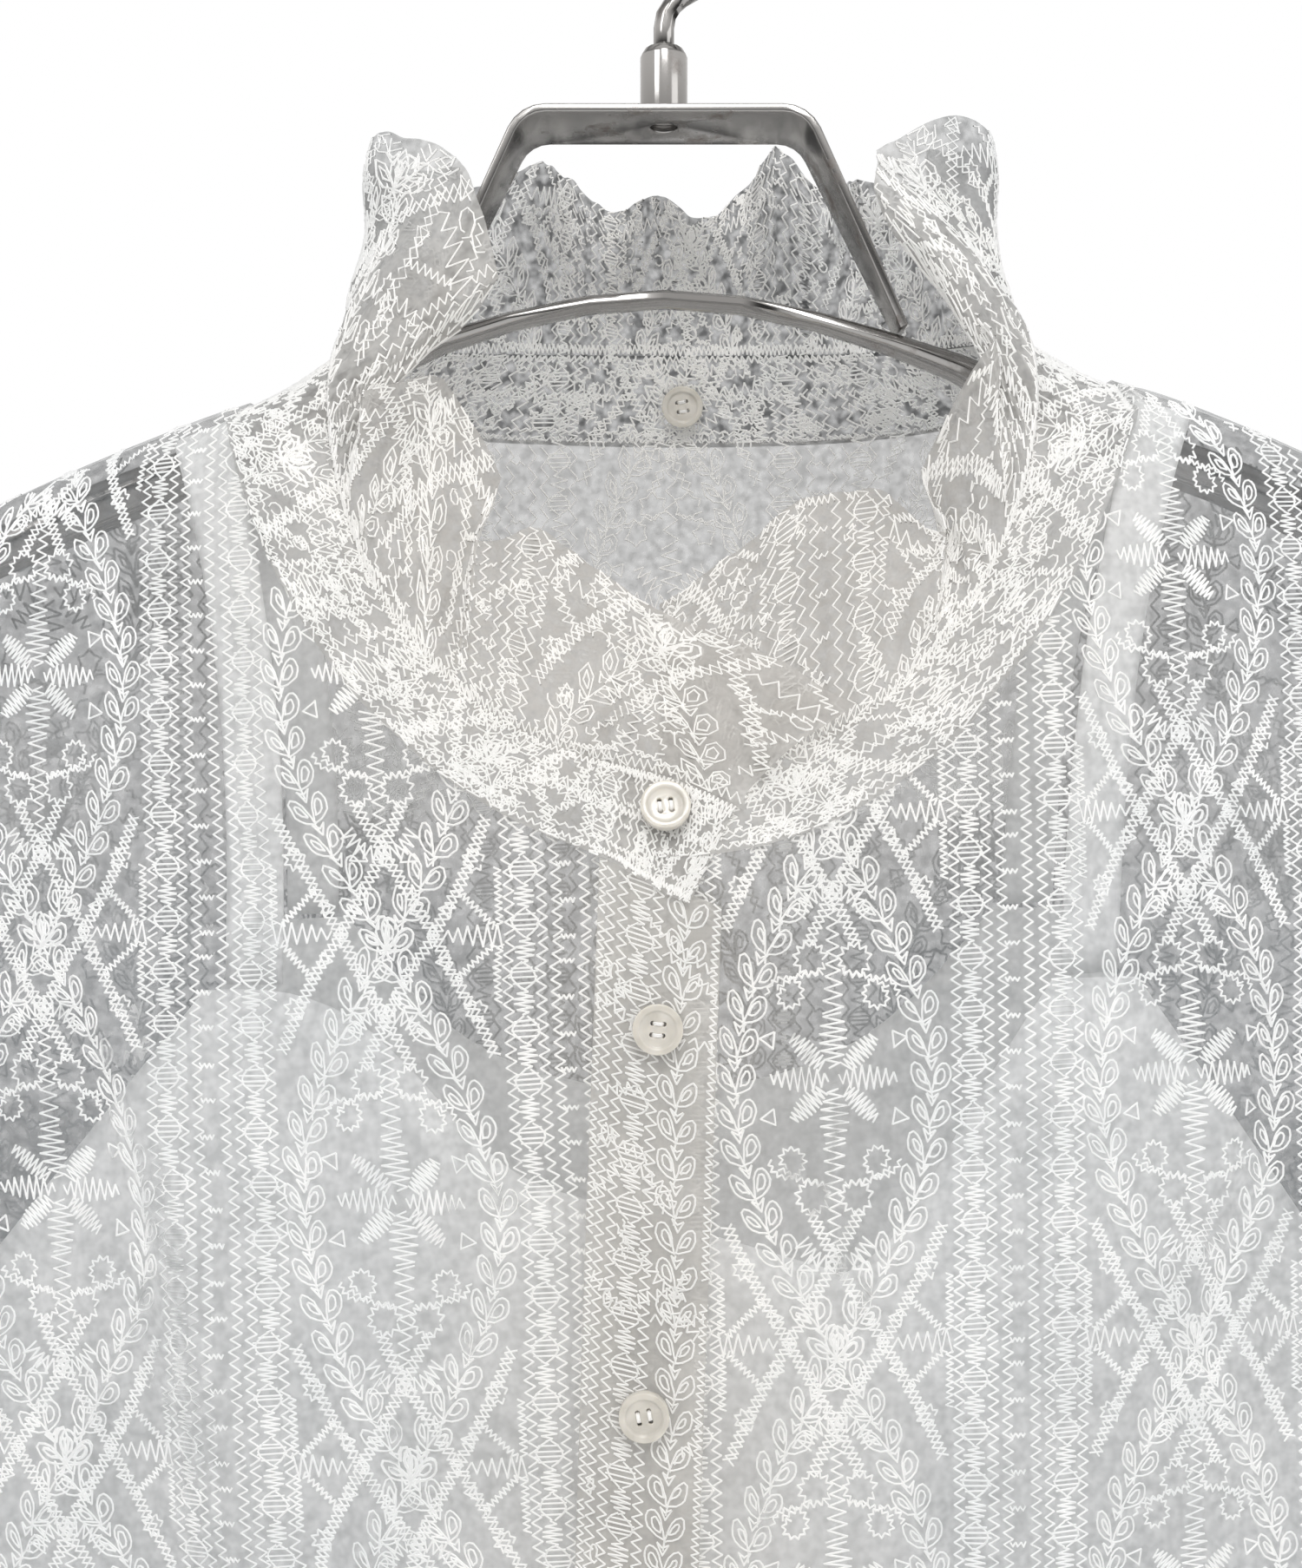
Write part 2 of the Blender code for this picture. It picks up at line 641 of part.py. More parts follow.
def strap_grid(mirror):
    """A shoulder strap from the camisole's front, over the hanger's arm, to its back."""

    def surface(across, step):
        end_z = STRAP_FRONT_Z if step < 0 else STRAP_BACK_Z
        top = shoulder_z(across)
        z = top + (end_z - top) * step * step
        return body_point(mirror * across, z, -1 if step < 0 else 1)

    columns = []
    for edge in (-1, 0, 1):
        line = []
        for count in range(-STRAP_STEPS, STRAP_STEPS + 1):
            step = count / STRAP_STEPS
            share = abs(step)
            end_z = STRAP_FRONT_Z if step < 0 else STRAP_BACK_Z
            low_x = STRAP_SHARE * (half_width(end_z) - CAMISOLE_SIDE_INSET)
            across = STRAP_SHOULDER_X + (low_x - STRAP_SHOULDER_X) * smooth(share) + edge * STRAP_HALF_WIDTH
            inset = STRAP_SHOULDER_INSET + (CAMISOLE_DEPTH_INSET - STRAP_SHOULDER_INSET) * smooth((share - 0.1) / 0.9)
            along = surface(across, step + 0.02) - surface(across, step - 0.02)
            aside = surface(across + 0.001, step) - surface(across - 0.001, step)
            normal = np.cross(along, aside)
            normal *= -1 if normal[2] < 0 and share < 0.3 or normal[1] * step < 0 else 1
            line.append(surface(across, step) - normal / np.linalg.norm(normal) * inset)
        columns.append(line)
    return np.array(columns).transpose(1, 0, 2)


def face_normals(grid, ring):
    after = np.roll(grid, -1, axis=1) if ring else grid[:, 1:]
    here = grid if ring else grid[:, :-1]
    across = after[1:] - here[:-1]
    other = after[:-1] - here[1:]
    return np.cross(across, other)


def vertex_sums(grid, ring, outward):
    """Sums of the face normals at each point, all turned to the outer side."""
    faces = face_normals(grid, ring)
    sums = np.zeros_like(grid)
    if ring:
        for shift in (0, 1):
            sums[:-1] += np.roll(faces, shift, axis=1)
            sums[1:] += np.roll(faces, shift, axis=1)
    else:
        sums[:-1, :-1] += faces
        sums[1:, :-1] += faces
        sums[:-1, 1:] += faces
        sums[1:, 1:] += faces
    if (sums * (grid - outward(grid))).sum() < 0:
        sums = -sums
    return sums


def body_axis(grid):
    centre = grid.copy()
    centre[..., 0] = np.median(grid[..., 0]) if abs(np.median(grid[..., 0])) < 0.02 else 0.0
    centre[..., 1] = 0.0
    return centre


def ring_axis(grid):
    return np.broadcast_to(grid.mean(axis=1, keepdims=True), grid.shape)


def shared_normals(pieces):
    """Unit normals for each grid, the same on both sides of a seam."""
    sums = [vertex_sums(grid, ring, outward) for grid, ring, outward in pieces]
    total = {}
    for (grid, _, _), normals in zip(pieces, sums):
        for point, normal in zip(grid.reshape(-1, 3), normals.reshape(-1, 3)):
            key = tuple(np.round(point, 6))
            total[key] = total.get(key, 0) + normal
    result = []
    for grid, _, _ in pieces:
        keys = [tuple(np.round(point, 6)) for point in grid.reshape(-1, 3)]
        normals = np.array([total[key] for key in keys]).reshape(grid.shape)
        result.append(normals / np.linalg.norm(normals, axis=-1, keepdims=True))
    return result


def pulled_in(grid, ring):
    """The grid with its edges moved half a seam gap inwards along the cloth."""
    grid = grid.copy()

    def toward(edge, inside):
        step = inside - edge
        length = np.linalg.norm(step, axis=-1, keepdims=True)
        return edge + step / np.maximum(length, 1e-9) * SEAM_GAP / 2

    grid[0] = toward(grid[0], grid[1])
    grid[-1] = toward(grid[-1], grid[-2])
    if not ring:
        grid[:, 0] = toward(grid[:, 0], grid[:, 1])
        grid[:, -1] = toward(grid[:, -1], grid[:, -2])
    return grid


def make_material(name, color, roughness, metallic=0.0):
    material = bpy.data.materials.get(name)
    if material is None:
        material = bpy.data.materials.new(name)
        material.use_nodes = True
        shader = material.node_tree.nodes["Principled BSDF"]
        shader.inputs["Base Color"].default_value = (*color, 1.0)
        shader.inputs["Roughness"].default_value = roughness
        shader.inputs["Metallic"].default_value = metallic
    return material


def add_object(name, mesh, collection, material):
    mesh.materials.append(material)
    obj = bpy.data.objects.new(name, mesh)
    collection.objects.link(obj)
    return obj


def cloth_wall(name, grid, normals, collection, material, ring=False, thickness=WALL):
    """One closed wall of cloth: the grid moved out and in by half its thickness, with its edges closed."""
    grid = pulled_in(grid, ring)
    rows, columns = grid.shape[:2]
    outer = grid + normals * thickness / 2
    inner = grid - normals * thickness / 2
    points = np.concatenate([outer.reshape(-1, 3), inner.reshape(-1, 3)])
    count = rows * columns

    def at(row, col, layer):
        return layer * count + row * columns + col % columns

    spans = columns if ring else columns - 1
    faces = []
    for row in range(rows - 1):
        for col in range(spans):
            corners = [(row, col), (row, col + 1), (row + 1, col + 1), (row + 1, col)]
            faces.append([at(r, c, 0) for r, c in corners])
            faces.append([at(r, c, 1) for r, c in reversed(corners)])
    for row, order in ((0, 1), (rows - 1, -1)):
        for col in range(spans):
            strip = [at(row, col + 1, 0), at(row, col, 0), at(row, col, 1), at(row, col + 1, 1)]
            faces.append(strip[::order])
    if not ring:
        for col, order in ((0, 1), (columns - 1, -1)):
            for row in range(rows - 1):
                strip = [at(row, col, 0), at(row + 1, col, 0), at(row + 1, col, 1), at(row, col, 1)]
                faces.append(strip[::order])
    mesh = bpy.data.meshes.new(name)
    mesh.from_pydata([tuple(point) for point in points], [], faces)
    shell = bmesh.new()
    shell.from_mesh(mesh)
    bmesh.ops.recalc_face_normals(shell, faces=shell.faces)
    shell.to_mesh(mesh)
    shell.free()
    mesh.shade_smooth()
    mesh.set_sharp_from_angle(angle=math.radians(50))
    return add_object(name, mesh, collection, material)


def turned(name, profile, segments, collection, material):
    """A solid of revolution round Z from a profile that runs down its outer side."""
    mesh = bpy.data.meshes.new(name)
    mesh.from_pydata([(r, 0.0, z) for r, z in profile], [(i, i + 1) for i in range(len(profile) - 1)], [])
    obj = add_object(name, mesh, collection, material)
    screw = obj.modifiers.new("Turn", "SCREW")
    screw.steps = screw.render_steps = segments
    screw.use_merge_vertices = True
    screw.merge_threshold = 1e-5
    return obj


def add_button(name, place, facing, collection, material):
    radius, half = BUTTON_RADIUS, BUTTON_THICKNESS / 2
    profile = [
        (0.0, half - 0.0006),
        (radius * 0.62, half - 0.0006),
        (radius * 0.80, half),
        (radius, half - 0.0005),
        (radius * 0.93, -half),
        (0.0, -half),
    ]
    obj = turned(name, profile, BUTTON_SEGMENTS, collection, material)
    obj.rotation_euler = Vector(facing).to_track_quat("Z", "Y").to_euler()
    obj.location = Vector(place) + Vector(facing) * (WALL / 2 + SEAM_GAP + half)


def add_tube(name, points, radius, collection, material):
    data = bpy.data.curves.new(name, "CURVE")
    data.dimensions = "3D"
    data.bevel_depth = radius
    data.bevel_resolution = 2
    data.use_fill_caps = True
    spline = data.splines.new("POLY")
    spline.points.add(len(points) - 1)
    for knot, point in zip(spline.points, points):
        knot.co = (*point, 1.0)
    obj = bpy.data.objects.new(name, data)
    data.materials.append(material)
    collection.objects.link(obj)
    return obj


def hook_route():
    """From the ferrule up, out to the right, and round over the rail."""
    centre_z = HOOK_WIRE - HOOK_RADIUS
    arc = []
    for step in range(HOOK_STEPS + 1):
        turn = math.radians(HOOK_START_DEG + (HOOK_END_DEG - HOOK_START_DEG) * step / HOOK_STEPS)
        arc.append(Vector((HOOK_RADIUS * math.cos(turn), 0.0, centre_z + HOOK_RADIUS * math.sin(turn))))
    foot = Vector((0.0, 0.0, FERRULE_TOP_Z + SEAM_GAP))
    start_turn = math.radians(HOOK_START_DEG)
    heading = Vector((-math.sin(start_turn), 0.0, math.cos(start_turn)))
    controls = [foot + Vector((0, 0, 0.004)), foot + Vector((0, 0, 0.011)), arc[0] - heading * 0.006, arc[0]]
    bend = []
    for step in range(6):
        t = step / 6
        weights = ((1 - t) ** 3, 3 * t * (1 - t) ** 2, 3 * t * t * (1 - t), t**3)
        bend.append(sum((point * weight for point, weight in zip(controls, weights)), Vector()))
    return [foot] + bend + arc


def add_hook(collection, material):
    add_tube("hanger_hook", hook_route(), HOOK_WIRE, collection, material)


def add_ferrule(collection, material):
    bottom = BRACKET_TOP_Z + SEAM_GAP
    profile = [
        (0.0, FERRULE_TOP_Z),
        (FERRULE_NECK_RADIUS, FERRULE_TOP_Z),
        (FERRULE_RADIUS * 0.80, FERRULE_TOP_Z - 0.0007),
        (FERRULE_RADIUS, FERRULE_TOP_Z - 0.0024),
        (FERRULE_RADIUS, bottom + 0.0004),
        (FERRULE_RADIUS * 0.95, bottom),
        (0.0, bottom),
    ]
    turned("hanger_ferrule", profile, 16, collection, material)


def bracket_route():
    """The middle line of the bent strip, from its left foot to its right foot."""
    top = BRACKET_TOP_Z - BRACKET_THICKNESS / 2
    foot = Vector((BRACKET_FOOT_X, BRACKET_FOOT_Z))
    corner = Vector((BRACKET_CORNER_X, top))
    leg = (foot - corner).normalized()
    bend = math.acos(leg.dot(Vector((1, 0))))
    tangent = BRACKET_CORNER_RADIUS * math.tan(bend / 2)
    centre = corner + Vector((-tangent, -BRACKET_CORNER_RADIUS))
    half = []
    for step in range(5):
        turn = math.pi / 2 - bend * step / 4
        half.append(centre + BRACKET_CORNER_RADIUS * Vector((math.cos(turn), math.sin(turn))))
    half += [half[-1].lerp(foot, 0.5), foot]
    left = [Vector((-point.x, point.y)) for point in reversed(half)]
    return left + half


def add_bracket(collection, cutters, material):
    route = bracket_route()
    edges = []
    count = len(route)
    for i, point in enumerate(route):
        ahead = (route[min(i + 1, count - 1)] - route[max(i - 1, 0)]).normalized()
        across = Vector((-ahead.y, ahead.x)) * BRACKET_THICKNESS / 2
        share = smooth((BRACKET_TOP_Z - 0.012 - point.y) / (BRACKET_TOP_Z - 0.012 - BRACKET_FOOT_Z))
        depth = BRACKET_HALF_DEPTH + (BRACKET_FOOT_HALF_DEPTH - BRACKET_HALF_DEPTH) * share
        edges.append([
            (point.x + side * across.x, y, point.y + side * across.y)
            for side, y in ((1, -depth), (1, depth), (-1, depth), (-1, -depth))
        ])
    points = [corner for ring in edges for corner in ring]
    faces = [[0, 1, 2, 3], [4 * count - 1, 4 * count - 2, 4 * count - 3, 4 * count - 4]]
    for i in range(count - 1):
        for k in range(4):
            faces.append([4 * i + k, 4 * i + (k + 1) % 4, 4 * i + 4 + (k + 1) % 4, 4 * i + 4 + k])
    mesh = bpy.data.meshes.new("hanger_bracket")
    mesh.from_pydata(points, [], faces)
    strip = bmesh.new()
    strip.from_mesh(mesh)
    bmesh.ops.recalc_face_normals(strip, faces=strip.faces)
    strip.to_mesh(mesh)
    strip.free()
    obj = add_object("hanger_bracket", mesh, collection, material)

    drill_mesh = bpy.data.meshes.new("bracket_drill")
    drill = bmesh.new()
    bmesh.ops.create_cone(
        drill, cap_ends=True, segments=16, radius1=BRACKET_HOLE_RADIUS, radius2=BRACKET_HOLE_RADIUS, depth=0.01
    )
    drill.to_mesh(drill_mesh)
    drill.free()
    cutter = bpy.data.objects.new("bracket_drill", drill_mesh)
    cutter.location = (0.0, 0.0, BRACKET_TOP_Z)
    cutter.hide_render = True
    cutter.display_type = "WIRE"
    cutters.objects.link(cutter)
    cut = obj.modifiers.new("Hole", "BOOLEAN")
    cut.object = cutter
    cut.operation = "DIFFERENCE"


def add_bar(collection, material):
    """The arched bar with its broader arms, under the shoulders."""
    right = BAR_SECTIONS[1:]
    sections = [(-x, z, tall, deep) for x, z, tall, deep in reversed(right)]
    sections += [(x, z + lift_at(x, LIFT_TO_Z), tall, deep) for x, z, tall, deep in BAR_SECTIONS]
    points, faces = [], []
    for i, (x, z, tall, deep) in enumerate(sections):
        before, after = sections[max(i - 1, 0)], sections[min(i + 1, len(sections) - 1)]
        along = Vector((after[0] - before[0], 0.0, after[1] - before[1])).normalized()
        up = Vector((-along.z, 0.0, along.x))
        for k in range(BAR_SIDES):
            turn = 2 * math.pi * k / BAR_SIDES
            point = Vector((x, 0.0, z)) + up * tall * math.cos(turn) + Vector((0, deep * math.sin(turn), 0))
            points.append(tuple(point))
    for i in range(len(sections) - 1):
        for k in range(BAR_SIDES):
            first, second = i * BAR_SIDES + k, i * BAR_SIDES + (k + 1) % BAR_SIDES
            faces.append([first, second, second + BAR_SIDES, first + BAR_SIDES])
    faces.append(list(range(BAR_SIDES)))
    faces.append(list(range(len(points) - BAR_SIDES, len(points)))[::-1])
    mesh = bpy.data.meshes.new("hanger_bar")
    mesh.from_pydata(points, [], faces)
    rod = bmesh.new()
    rod.from_mesh(mesh)
    bmesh.ops.recalc_face_normals(rod, faces=rod.faces)
    rod.to_mesh(mesh)
    rod.free()
    mesh.shade_smooth()
    add_object("hanger_bar", mesh, collection, material)


def button_heights():
    heights = [BAND_BUTTON_Z - BUTTON_FIRST_GAP]
    while len(heights) < BUTTON_COUNT - 1:
        heights.append(heights[-1] - BUTTON_PITCH)
    return heights


def surface_frame(place_at, z):
    """A place on the front line and the outward direction there."""
    here, above, right = place_at(0.0, z), place_at(0.0, z + 0.003), place_at(0.003, z)
    normal = np.cross(right - here, above - here)
    normal /= np.linalg.norm(normal)
    return here, normal if normal[1] < 0 else -normal


def add_buttons(collection, material):
    def on_placket(aside, z):
        across = button_x(z) + aside - middle_x(z)
        return body_point(across, z, -1) + np.array([0.0, -LAYER_STEP, 0.0])

    def on_band(aside, z):
        return band_face(button_x(z) + aside, z) + np.array([0.0, -BAND_LAYER_STEP, 0.0])

    def back_neck(aside, z):
        low, high = seam_point(math.pi), band_top_point(math.pi)
        share = (z - low[2]) / (high[2] - low[2])
        return low + (high - low) * share + np.array([aside + 0.001, 0.0, 0.0])

    place, facing = surface_frame(on_band, BAND_BUTTON_Z)
    add_button("button_1", place + facing * SEAM_GAP, facing, collection, material)
    for index, z in enumerate(button_heights()):
        place, facing = surface_frame(on_placket, z)
        add_button(f"button_{index + 2}", place, facing, collection, material)
    place, facing = surface_frame(back_neck, -0.1300)
    add_button("button_back_neck", place + facing * SEAM_GAP, facing, collection, material)


def build():
    clear_scene()
    blouse = bpy.data.collections.new("lace_blouse_on_hanger")
    cutters = bpy.data.collections.new("cutters")
    for collection in (blouse, cutters):
        bpy.context.scene.collection.children.link(collection)
    lace = make_material("white_lace", (0.86, 0.87, 0.88), 0.75)
    lining = make_material("white_lining", (0.90, 0.90, 0.90), 0.60)
    shell_button = make_material("pearl_resin", (0.88, 0.85, 0.79), 0.30)
    steel = make_material("polished_steel", (0.62, 0.61, 0.60), 0.22, 1.0)

    sleeves = {mirror: sleeve_grid(mirror) for mirror in (-1, 1)}
    outer_pieces = [
        ("front_right", front_right_grid(), False, body_axis),
        ("front_left", front_left_grid(), False, body_axis),
        ("back", back_grid(), False, body_axis),
        ("sleeve_right", sleeves[-1], True, ring_axis),
        ("sleeve_left", sleeves[1], True, ring_axis),
        ("cuff_right", cuff_grid(sleeves[-1]), True, ring_axis),
        ("cuff_left", cuff_grid(sleeves[1]), True, ring_axis),
        ("collar_band", band_grid(), False, body_axis),
    ]
    lining_pieces = [
        ("camisole_front", camisole_grid(CAMISOLE_FRONT_TOP, -1), False, body_axis),
        ("camisole_back", camisole_grid(CAMISOLE_BACK_TOP, 1), False, body_axis),
    ]
    for pieces, material in ((outer_pieces, lace), (lining_pieces, lining)):
        pieces = [(name, lifted(grid), ring, outward) for name, grid, ring, outward in pieces]
        normals = shared_normals([piece[1:] for piece in pieces])
        for (name, grid, ring, _), normal in zip(pieces, normals):
            cloth_wall(name, grid, normal, blouse, material, ring)

    placket = lifted(placket_grid())
    cloth_wall("front_placket", placket, shared_normals([(placket, False, body_axis)])[0], blouse, lace)
    ruffle = lifted(ruffle_grid())
    cloth_wall("collar_ruffle", ruffle, shared_normals([(ruffle, False, body_axis)])[0], blouse, lace)
    for name, mirror in (("camisole_strap_right", -1), ("camisole_strap_left", 1)):
        strap = lifted(strap_grid(mirror))

        def below(grid, mirror=mirror):
            centre = grid.copy()
            centre[..., 1] = 0.0
            centre[..., 2] -= 0.05
            return centre

        normal = shared_normals([(strap, False, below)])[0]
        cloth_wall(name, strap, normal, blouse, lining, thickness=STRAP_THICKNESS)

    add_buttons(blouse, shell_button)
    add_hook(blouse, steel)
    add_ferrule(blouse, steel)
    add_bracket(blouse, cutters, steel)
    add_bar(blouse, steel)


build()
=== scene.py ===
# %% [markdown]
# # A ruffle-collar lace blouse on a steel hanger
#
# The blouse is cut from sheer white cloth that is covered with thread embroidery. A plain opaque camisole
# hangs inside it, and both hang on a polished steel hanger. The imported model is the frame: it holds each
# piece at its real size and place, and everything below is dressed on it.

# %% The frame and its tools
import math

import bmesh
import bpy
import numpy as np
from mathutils import Matrix, Vector
from mathutils.bvhtree import BVHTree
from mathutils.kdtree import KDTree


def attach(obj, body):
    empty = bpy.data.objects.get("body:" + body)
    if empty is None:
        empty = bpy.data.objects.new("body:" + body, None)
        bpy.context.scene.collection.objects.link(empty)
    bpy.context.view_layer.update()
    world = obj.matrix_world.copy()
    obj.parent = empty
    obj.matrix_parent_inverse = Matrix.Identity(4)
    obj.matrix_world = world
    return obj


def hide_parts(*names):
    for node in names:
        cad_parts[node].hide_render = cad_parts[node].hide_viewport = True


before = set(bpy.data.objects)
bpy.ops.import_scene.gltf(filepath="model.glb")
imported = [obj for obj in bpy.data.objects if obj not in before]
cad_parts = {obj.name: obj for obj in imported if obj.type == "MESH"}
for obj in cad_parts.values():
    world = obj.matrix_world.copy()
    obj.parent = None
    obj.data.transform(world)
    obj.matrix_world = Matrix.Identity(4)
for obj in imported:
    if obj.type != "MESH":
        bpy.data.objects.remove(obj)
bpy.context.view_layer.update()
BODY = "root"
bpy.ops.object.select_all(action="DESELECT")

# %% [markdown]
# ## The camera and the light
#
# The photograph looks straight at the collar from less than half a metre away, so the camera stands level in
# front of the chest. The frame is taller than wide, and a sensor of 36 mm then spans its height. The light is
# soft and comes from all round, as in a white studio: a white backdrop, and large pale panels in front.

# %% Camera
FRAME_HEIGHT = 1806
CAMERA_PLACE = Vector((-0.003, -0.446, -0.227))
FOCAL_PIXELS, SENSOR_MM = 2200, 36.0

camera_data = bpy.data.cameras.new("camera")
camera_data.sensor_width = SENSOR_MM
camera_data.lens = FOCAL_PIXELS / FRAME_HEIGHT * SENSOR_MM
camera_data.clip_start = 0.01
camera = bpy.data.objects.new("camera", camera_data)
camera.location = CAMERA_PLACE
camera.rotation_euler = (math.radians(90), 0.0, 0.0)
bpy.context.scene.collection.objects.link(camera)
bpy.context.scene.camera = camera
print("lens, mm:", round(camera_data.lens, 2))

# %% World, lights and floor
FLOOR_Z, FLOOR_SIZE = -0.80, 6.0
BACKDROP = (1.0, 1.0, 1.0)
ROOM_STOPS = ((0.15, (0.49, 0.487, 0.483)), (0.75, (0.92, 0.92, 0.92)))
ROOM_STRENGTH = 1.15
GLOSS_TINT = (1.0, 0.985, 0.97)
GLOSS_BANDS = (
    (0.0, 0.2), (0.3, 0.45), (0.42, 0.06), (0.53, 0.04), (0.6, 0.6), (0.72, 1.0), (0.86, 0.25), (1.0, 0.9),
)


def halved(tree, source):
    """A value from -1 to 1, as one from 0 to 1."""
    node = tree.nodes.new("ShaderNodeMath")
    node.operation = "MULTIPLY_ADD"
    node.inputs[1].default_value = node.inputs[2].default_value = 0.5
    tree.links.new(source, node.inputs[0])
    return node.outputs[0]


def colour_ramp(tree, share, stops):
    """The colour at share, on a ramp through stops of a position and a colour each."""
    ramp = tree.nodes.new("ShaderNodeValToRGB")
    for _ in range(len(stops) - 2):
        ramp.color_ramp.elements.new(0.5)
    for element, (position, colour) in zip(ramp.color_ramp.elements, stops):
        element.position = position
        element.color = (*colour, 1.0)
    tree.links.new(share, ramp.inputs[0])
    return ramp.outputs["Color"]


def set_or_link(tree, socket, colour):
    """Gives a colour socket either a fixed colour or what comes out of another node."""
    if isinstance(colour, tuple):
        socket.default_value = (*colour, 1.0)
    else:
        tree.links.new(colour, socket)


def glow(tree, colour, strength=1.0):
    """Light from the world itself, of a colour and a strength."""
    node = tree.nodes.new("ShaderNodeBackground")
    node.inputs["Strength"].default_value = strength
    set_or_link(tree, node.inputs["Color"], colour)
    return node.outputs[0]


def choice(tree, share, first, second):
    """The first shader where share is 0, and the second where it is 1."""
    node = tree.nodes.new("ShaderNodeMixShader")
    for index, source in enumerate((share, first, second)):
        tree.links.new(source, node.inputs[index])
    return node.outputs[0]


def studio_world():
    """The camera sees a white backdrop, the steel sees bands, and all else is lit by a softly graded room."""
    world = bpy.data.worlds.new("studio")
    world.use_nodes = True
    tree = world.node_tree
    tree.nodes.clear()
    split = tree.nodes.new("ShaderNodeSeparateXYZ")
    tree.links.new(tree.nodes.new("ShaderNodeTexCoord").outputs["Generated"], split.inputs[0])
    room = glow(tree, colour_ramp(tree, halved(tree, split.outputs["Y"]), ROOM_STOPS), ROOM_STRENGTH)
    bands = [(place, tuple(bright * tint for tint in GLOSS_TINT)) for place, bright in GLOSS_BANDS]
    reflected = glow(tree, colour_ramp(tree, halved(tree, split.outputs["Z"]), bands))
    seen = tree.nodes.new("ShaderNodeLightPath")
    light = choice(tree, seen.outputs["Is Glossy Ray"], room, reflected)
    output = tree.nodes.new("ShaderNodeOutputWorld")
    shown = choice(tree, seen.outputs["Is Camera Ray"], light, glow(tree, BACKDROP))
    tree.links.new(shown, output.inputs["Surface"])
    return world


def soft_panel(name, place, aim, size, power):
    """A square area light at a place, turned to its aim, of a power in watts."""
    data = bpy.data.lights.new(name, "AREA")
    data.energy = power
    data.size = size
    light = bpy.data.objects.new(name, data)
    light.location = place
    light.rotation_euler = (Vector(aim) - Vector(place)).to_track_quat("-Z", "Y").to_euler()
    bpy.context.scene.collection.objects.link(light)


bpy.context.scene.world = studio_world()
soft_panel("key_panel", (-0.9, -1.3, 0.7), (0.0, 0.0, -0.25), 0.6, 3.7)
soft_panel("neck_panel", (0.05, -0.75, 0.55), (0.0, 0.04, -0.14), 0.4, 4.4)
soft_panel("fill_panel", (1.3, -0.9, 0.1), (0.0, 0.0, -0.30), 0.9, 3.0)
bpy.context.scene.view_settings.view_transform = "Standard"

bpy.ops.mesh.primitive_plane_add(size=FLOOR_SIZE, location=(0.0, 0.0, FLOOR_Z))
floor = bpy.context.object
floor.name = "studio_floor"
print("floor at", FLOOR_Z, "m")

# %% [markdown]
# ## Cloth from the frame
#
# Each cloth piece of the frame is a closed wall, coarse and a little thick. Real cloth is a thin sheet in the
# middle of that wall. A copy of the wall is merged, its narrow rim is taken off, and of the two sheets that
# are left the outer one is kept and moved half way to the inner one. Subdivision then rounds it.

# %% From a wall to a sheet
RIM_WIDTH = 0.0019
MERGE = 0.00002
ROW_ANGLE = math.radians(70)
CORNER_ANGLE = math.radians(140)
JOIN_FACE_ANGLE, JOIN_SHAPE_ANGLE = math.radians(60), math.radians(120)


def outer_sheet(node, outward, levels):
    """A smooth sheet on the middle of a cloth wall. outward says which way is out at a place."""
    sheet = bmesh.new()
    sheet.from_mesh(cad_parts[node].data)
    bmesh.ops.remove_doubles(sheet, verts=sheet.verts, dist=MERGE)
    narrow = {face for face in sheet.faces if any(is_wall_edge(edge) for edge in face.edges)}
    wide = [face for face in sheet.faces if face not in narrow]
    start = max(wide, key=lambda face: face.normal.dot(outward(face.calc_center_median())) * face.calc_area())
    kept = connected(start, lambda face, edge: face not in narrow)
    far_side = {vert for face in wide if face not in kept for vert in face.verts}
    kept = connected(
        start,
        lambda face, edge: face in kept
        or (edge.calc_face_angle(math.pi) < ROW_ANGLE and far_side.isdisjoint(face.verts)),
    )
    outer = {vert for face in kept for vert in face.verts}
    inner = [vert.co.copy() for vert in sheet.verts if vert not in outer]
    tree = KDTree(len(inner))
    for index, place in enumerate(inner):
        tree.insert(place, index)
    tree.balance()
    for vert in outer:
        vert.co = (vert.co + tree.find(vert.co)[0]) / 2
    bmesh.ops.delete(sheet, geom=[vert for vert in sheet.verts if vert not in outer], context="VERTS")
    bmesh.ops.join_triangles(
        sheet, faces=sheet.faces,
        angle_face_threshold=JOIN_FACE_ANGLE, angle_shape_threshold=JOIN_SHAPE_ANGLE,
    )
    keep_corners(sheet)
    mesh = bpy.data.meshes.new(node + "_cloth")
    sheet.to_mesh(mesh)
    sheet.free()
    piece = new_piece(node + "_cloth", mesh)
    apply_modifier(piece, "SUBSURF", levels=levels, render_levels=levels, boundary_smooth="PRESERVE_CORNERS")
    piece.data.shade_smooth()
    print(f"{piece.name}: {len(piece.data.polygons)} faces")
    return piece


def new_piece(name, mesh):
    piece = bpy.data.objects.new(name, mesh)
    bpy.context.scene.collection.objects.link(piece)
    return piece


def keep_corners(sheet):
    """A full crease on each corner of the outline, so that subdivision does not round it off."""
    crease = sheet.verts.layers.float.new("crease_vert")
    for vert in sheet.verts:
        ways = [edge.other_vert(vert).co - vert.co for edge in vert.link_edges if edge.is_boundary]
        if len(ways) == 2 and ways[0].angle(ways[1]) < CORNER_ANGLE:
            vert[crease] = 1.0


def is_wall_edge(edge):
    """Whether an edge is as short as the ones across the rim of a wall."""
    return edge.calc_length() < RIM_WIDTH


def connected(start, may_enter):
    """The faces that can be reached from one face over edges, where may_enter allows the step."""
    found, waiting = {start}, [start]
    while waiting:
        for edge in waiting.pop().edges:
            for other in edge.link_faces:
                if other not in found and may_enter(other, edge):
                    found.add(other)
                    waiting.append(other)
    return found


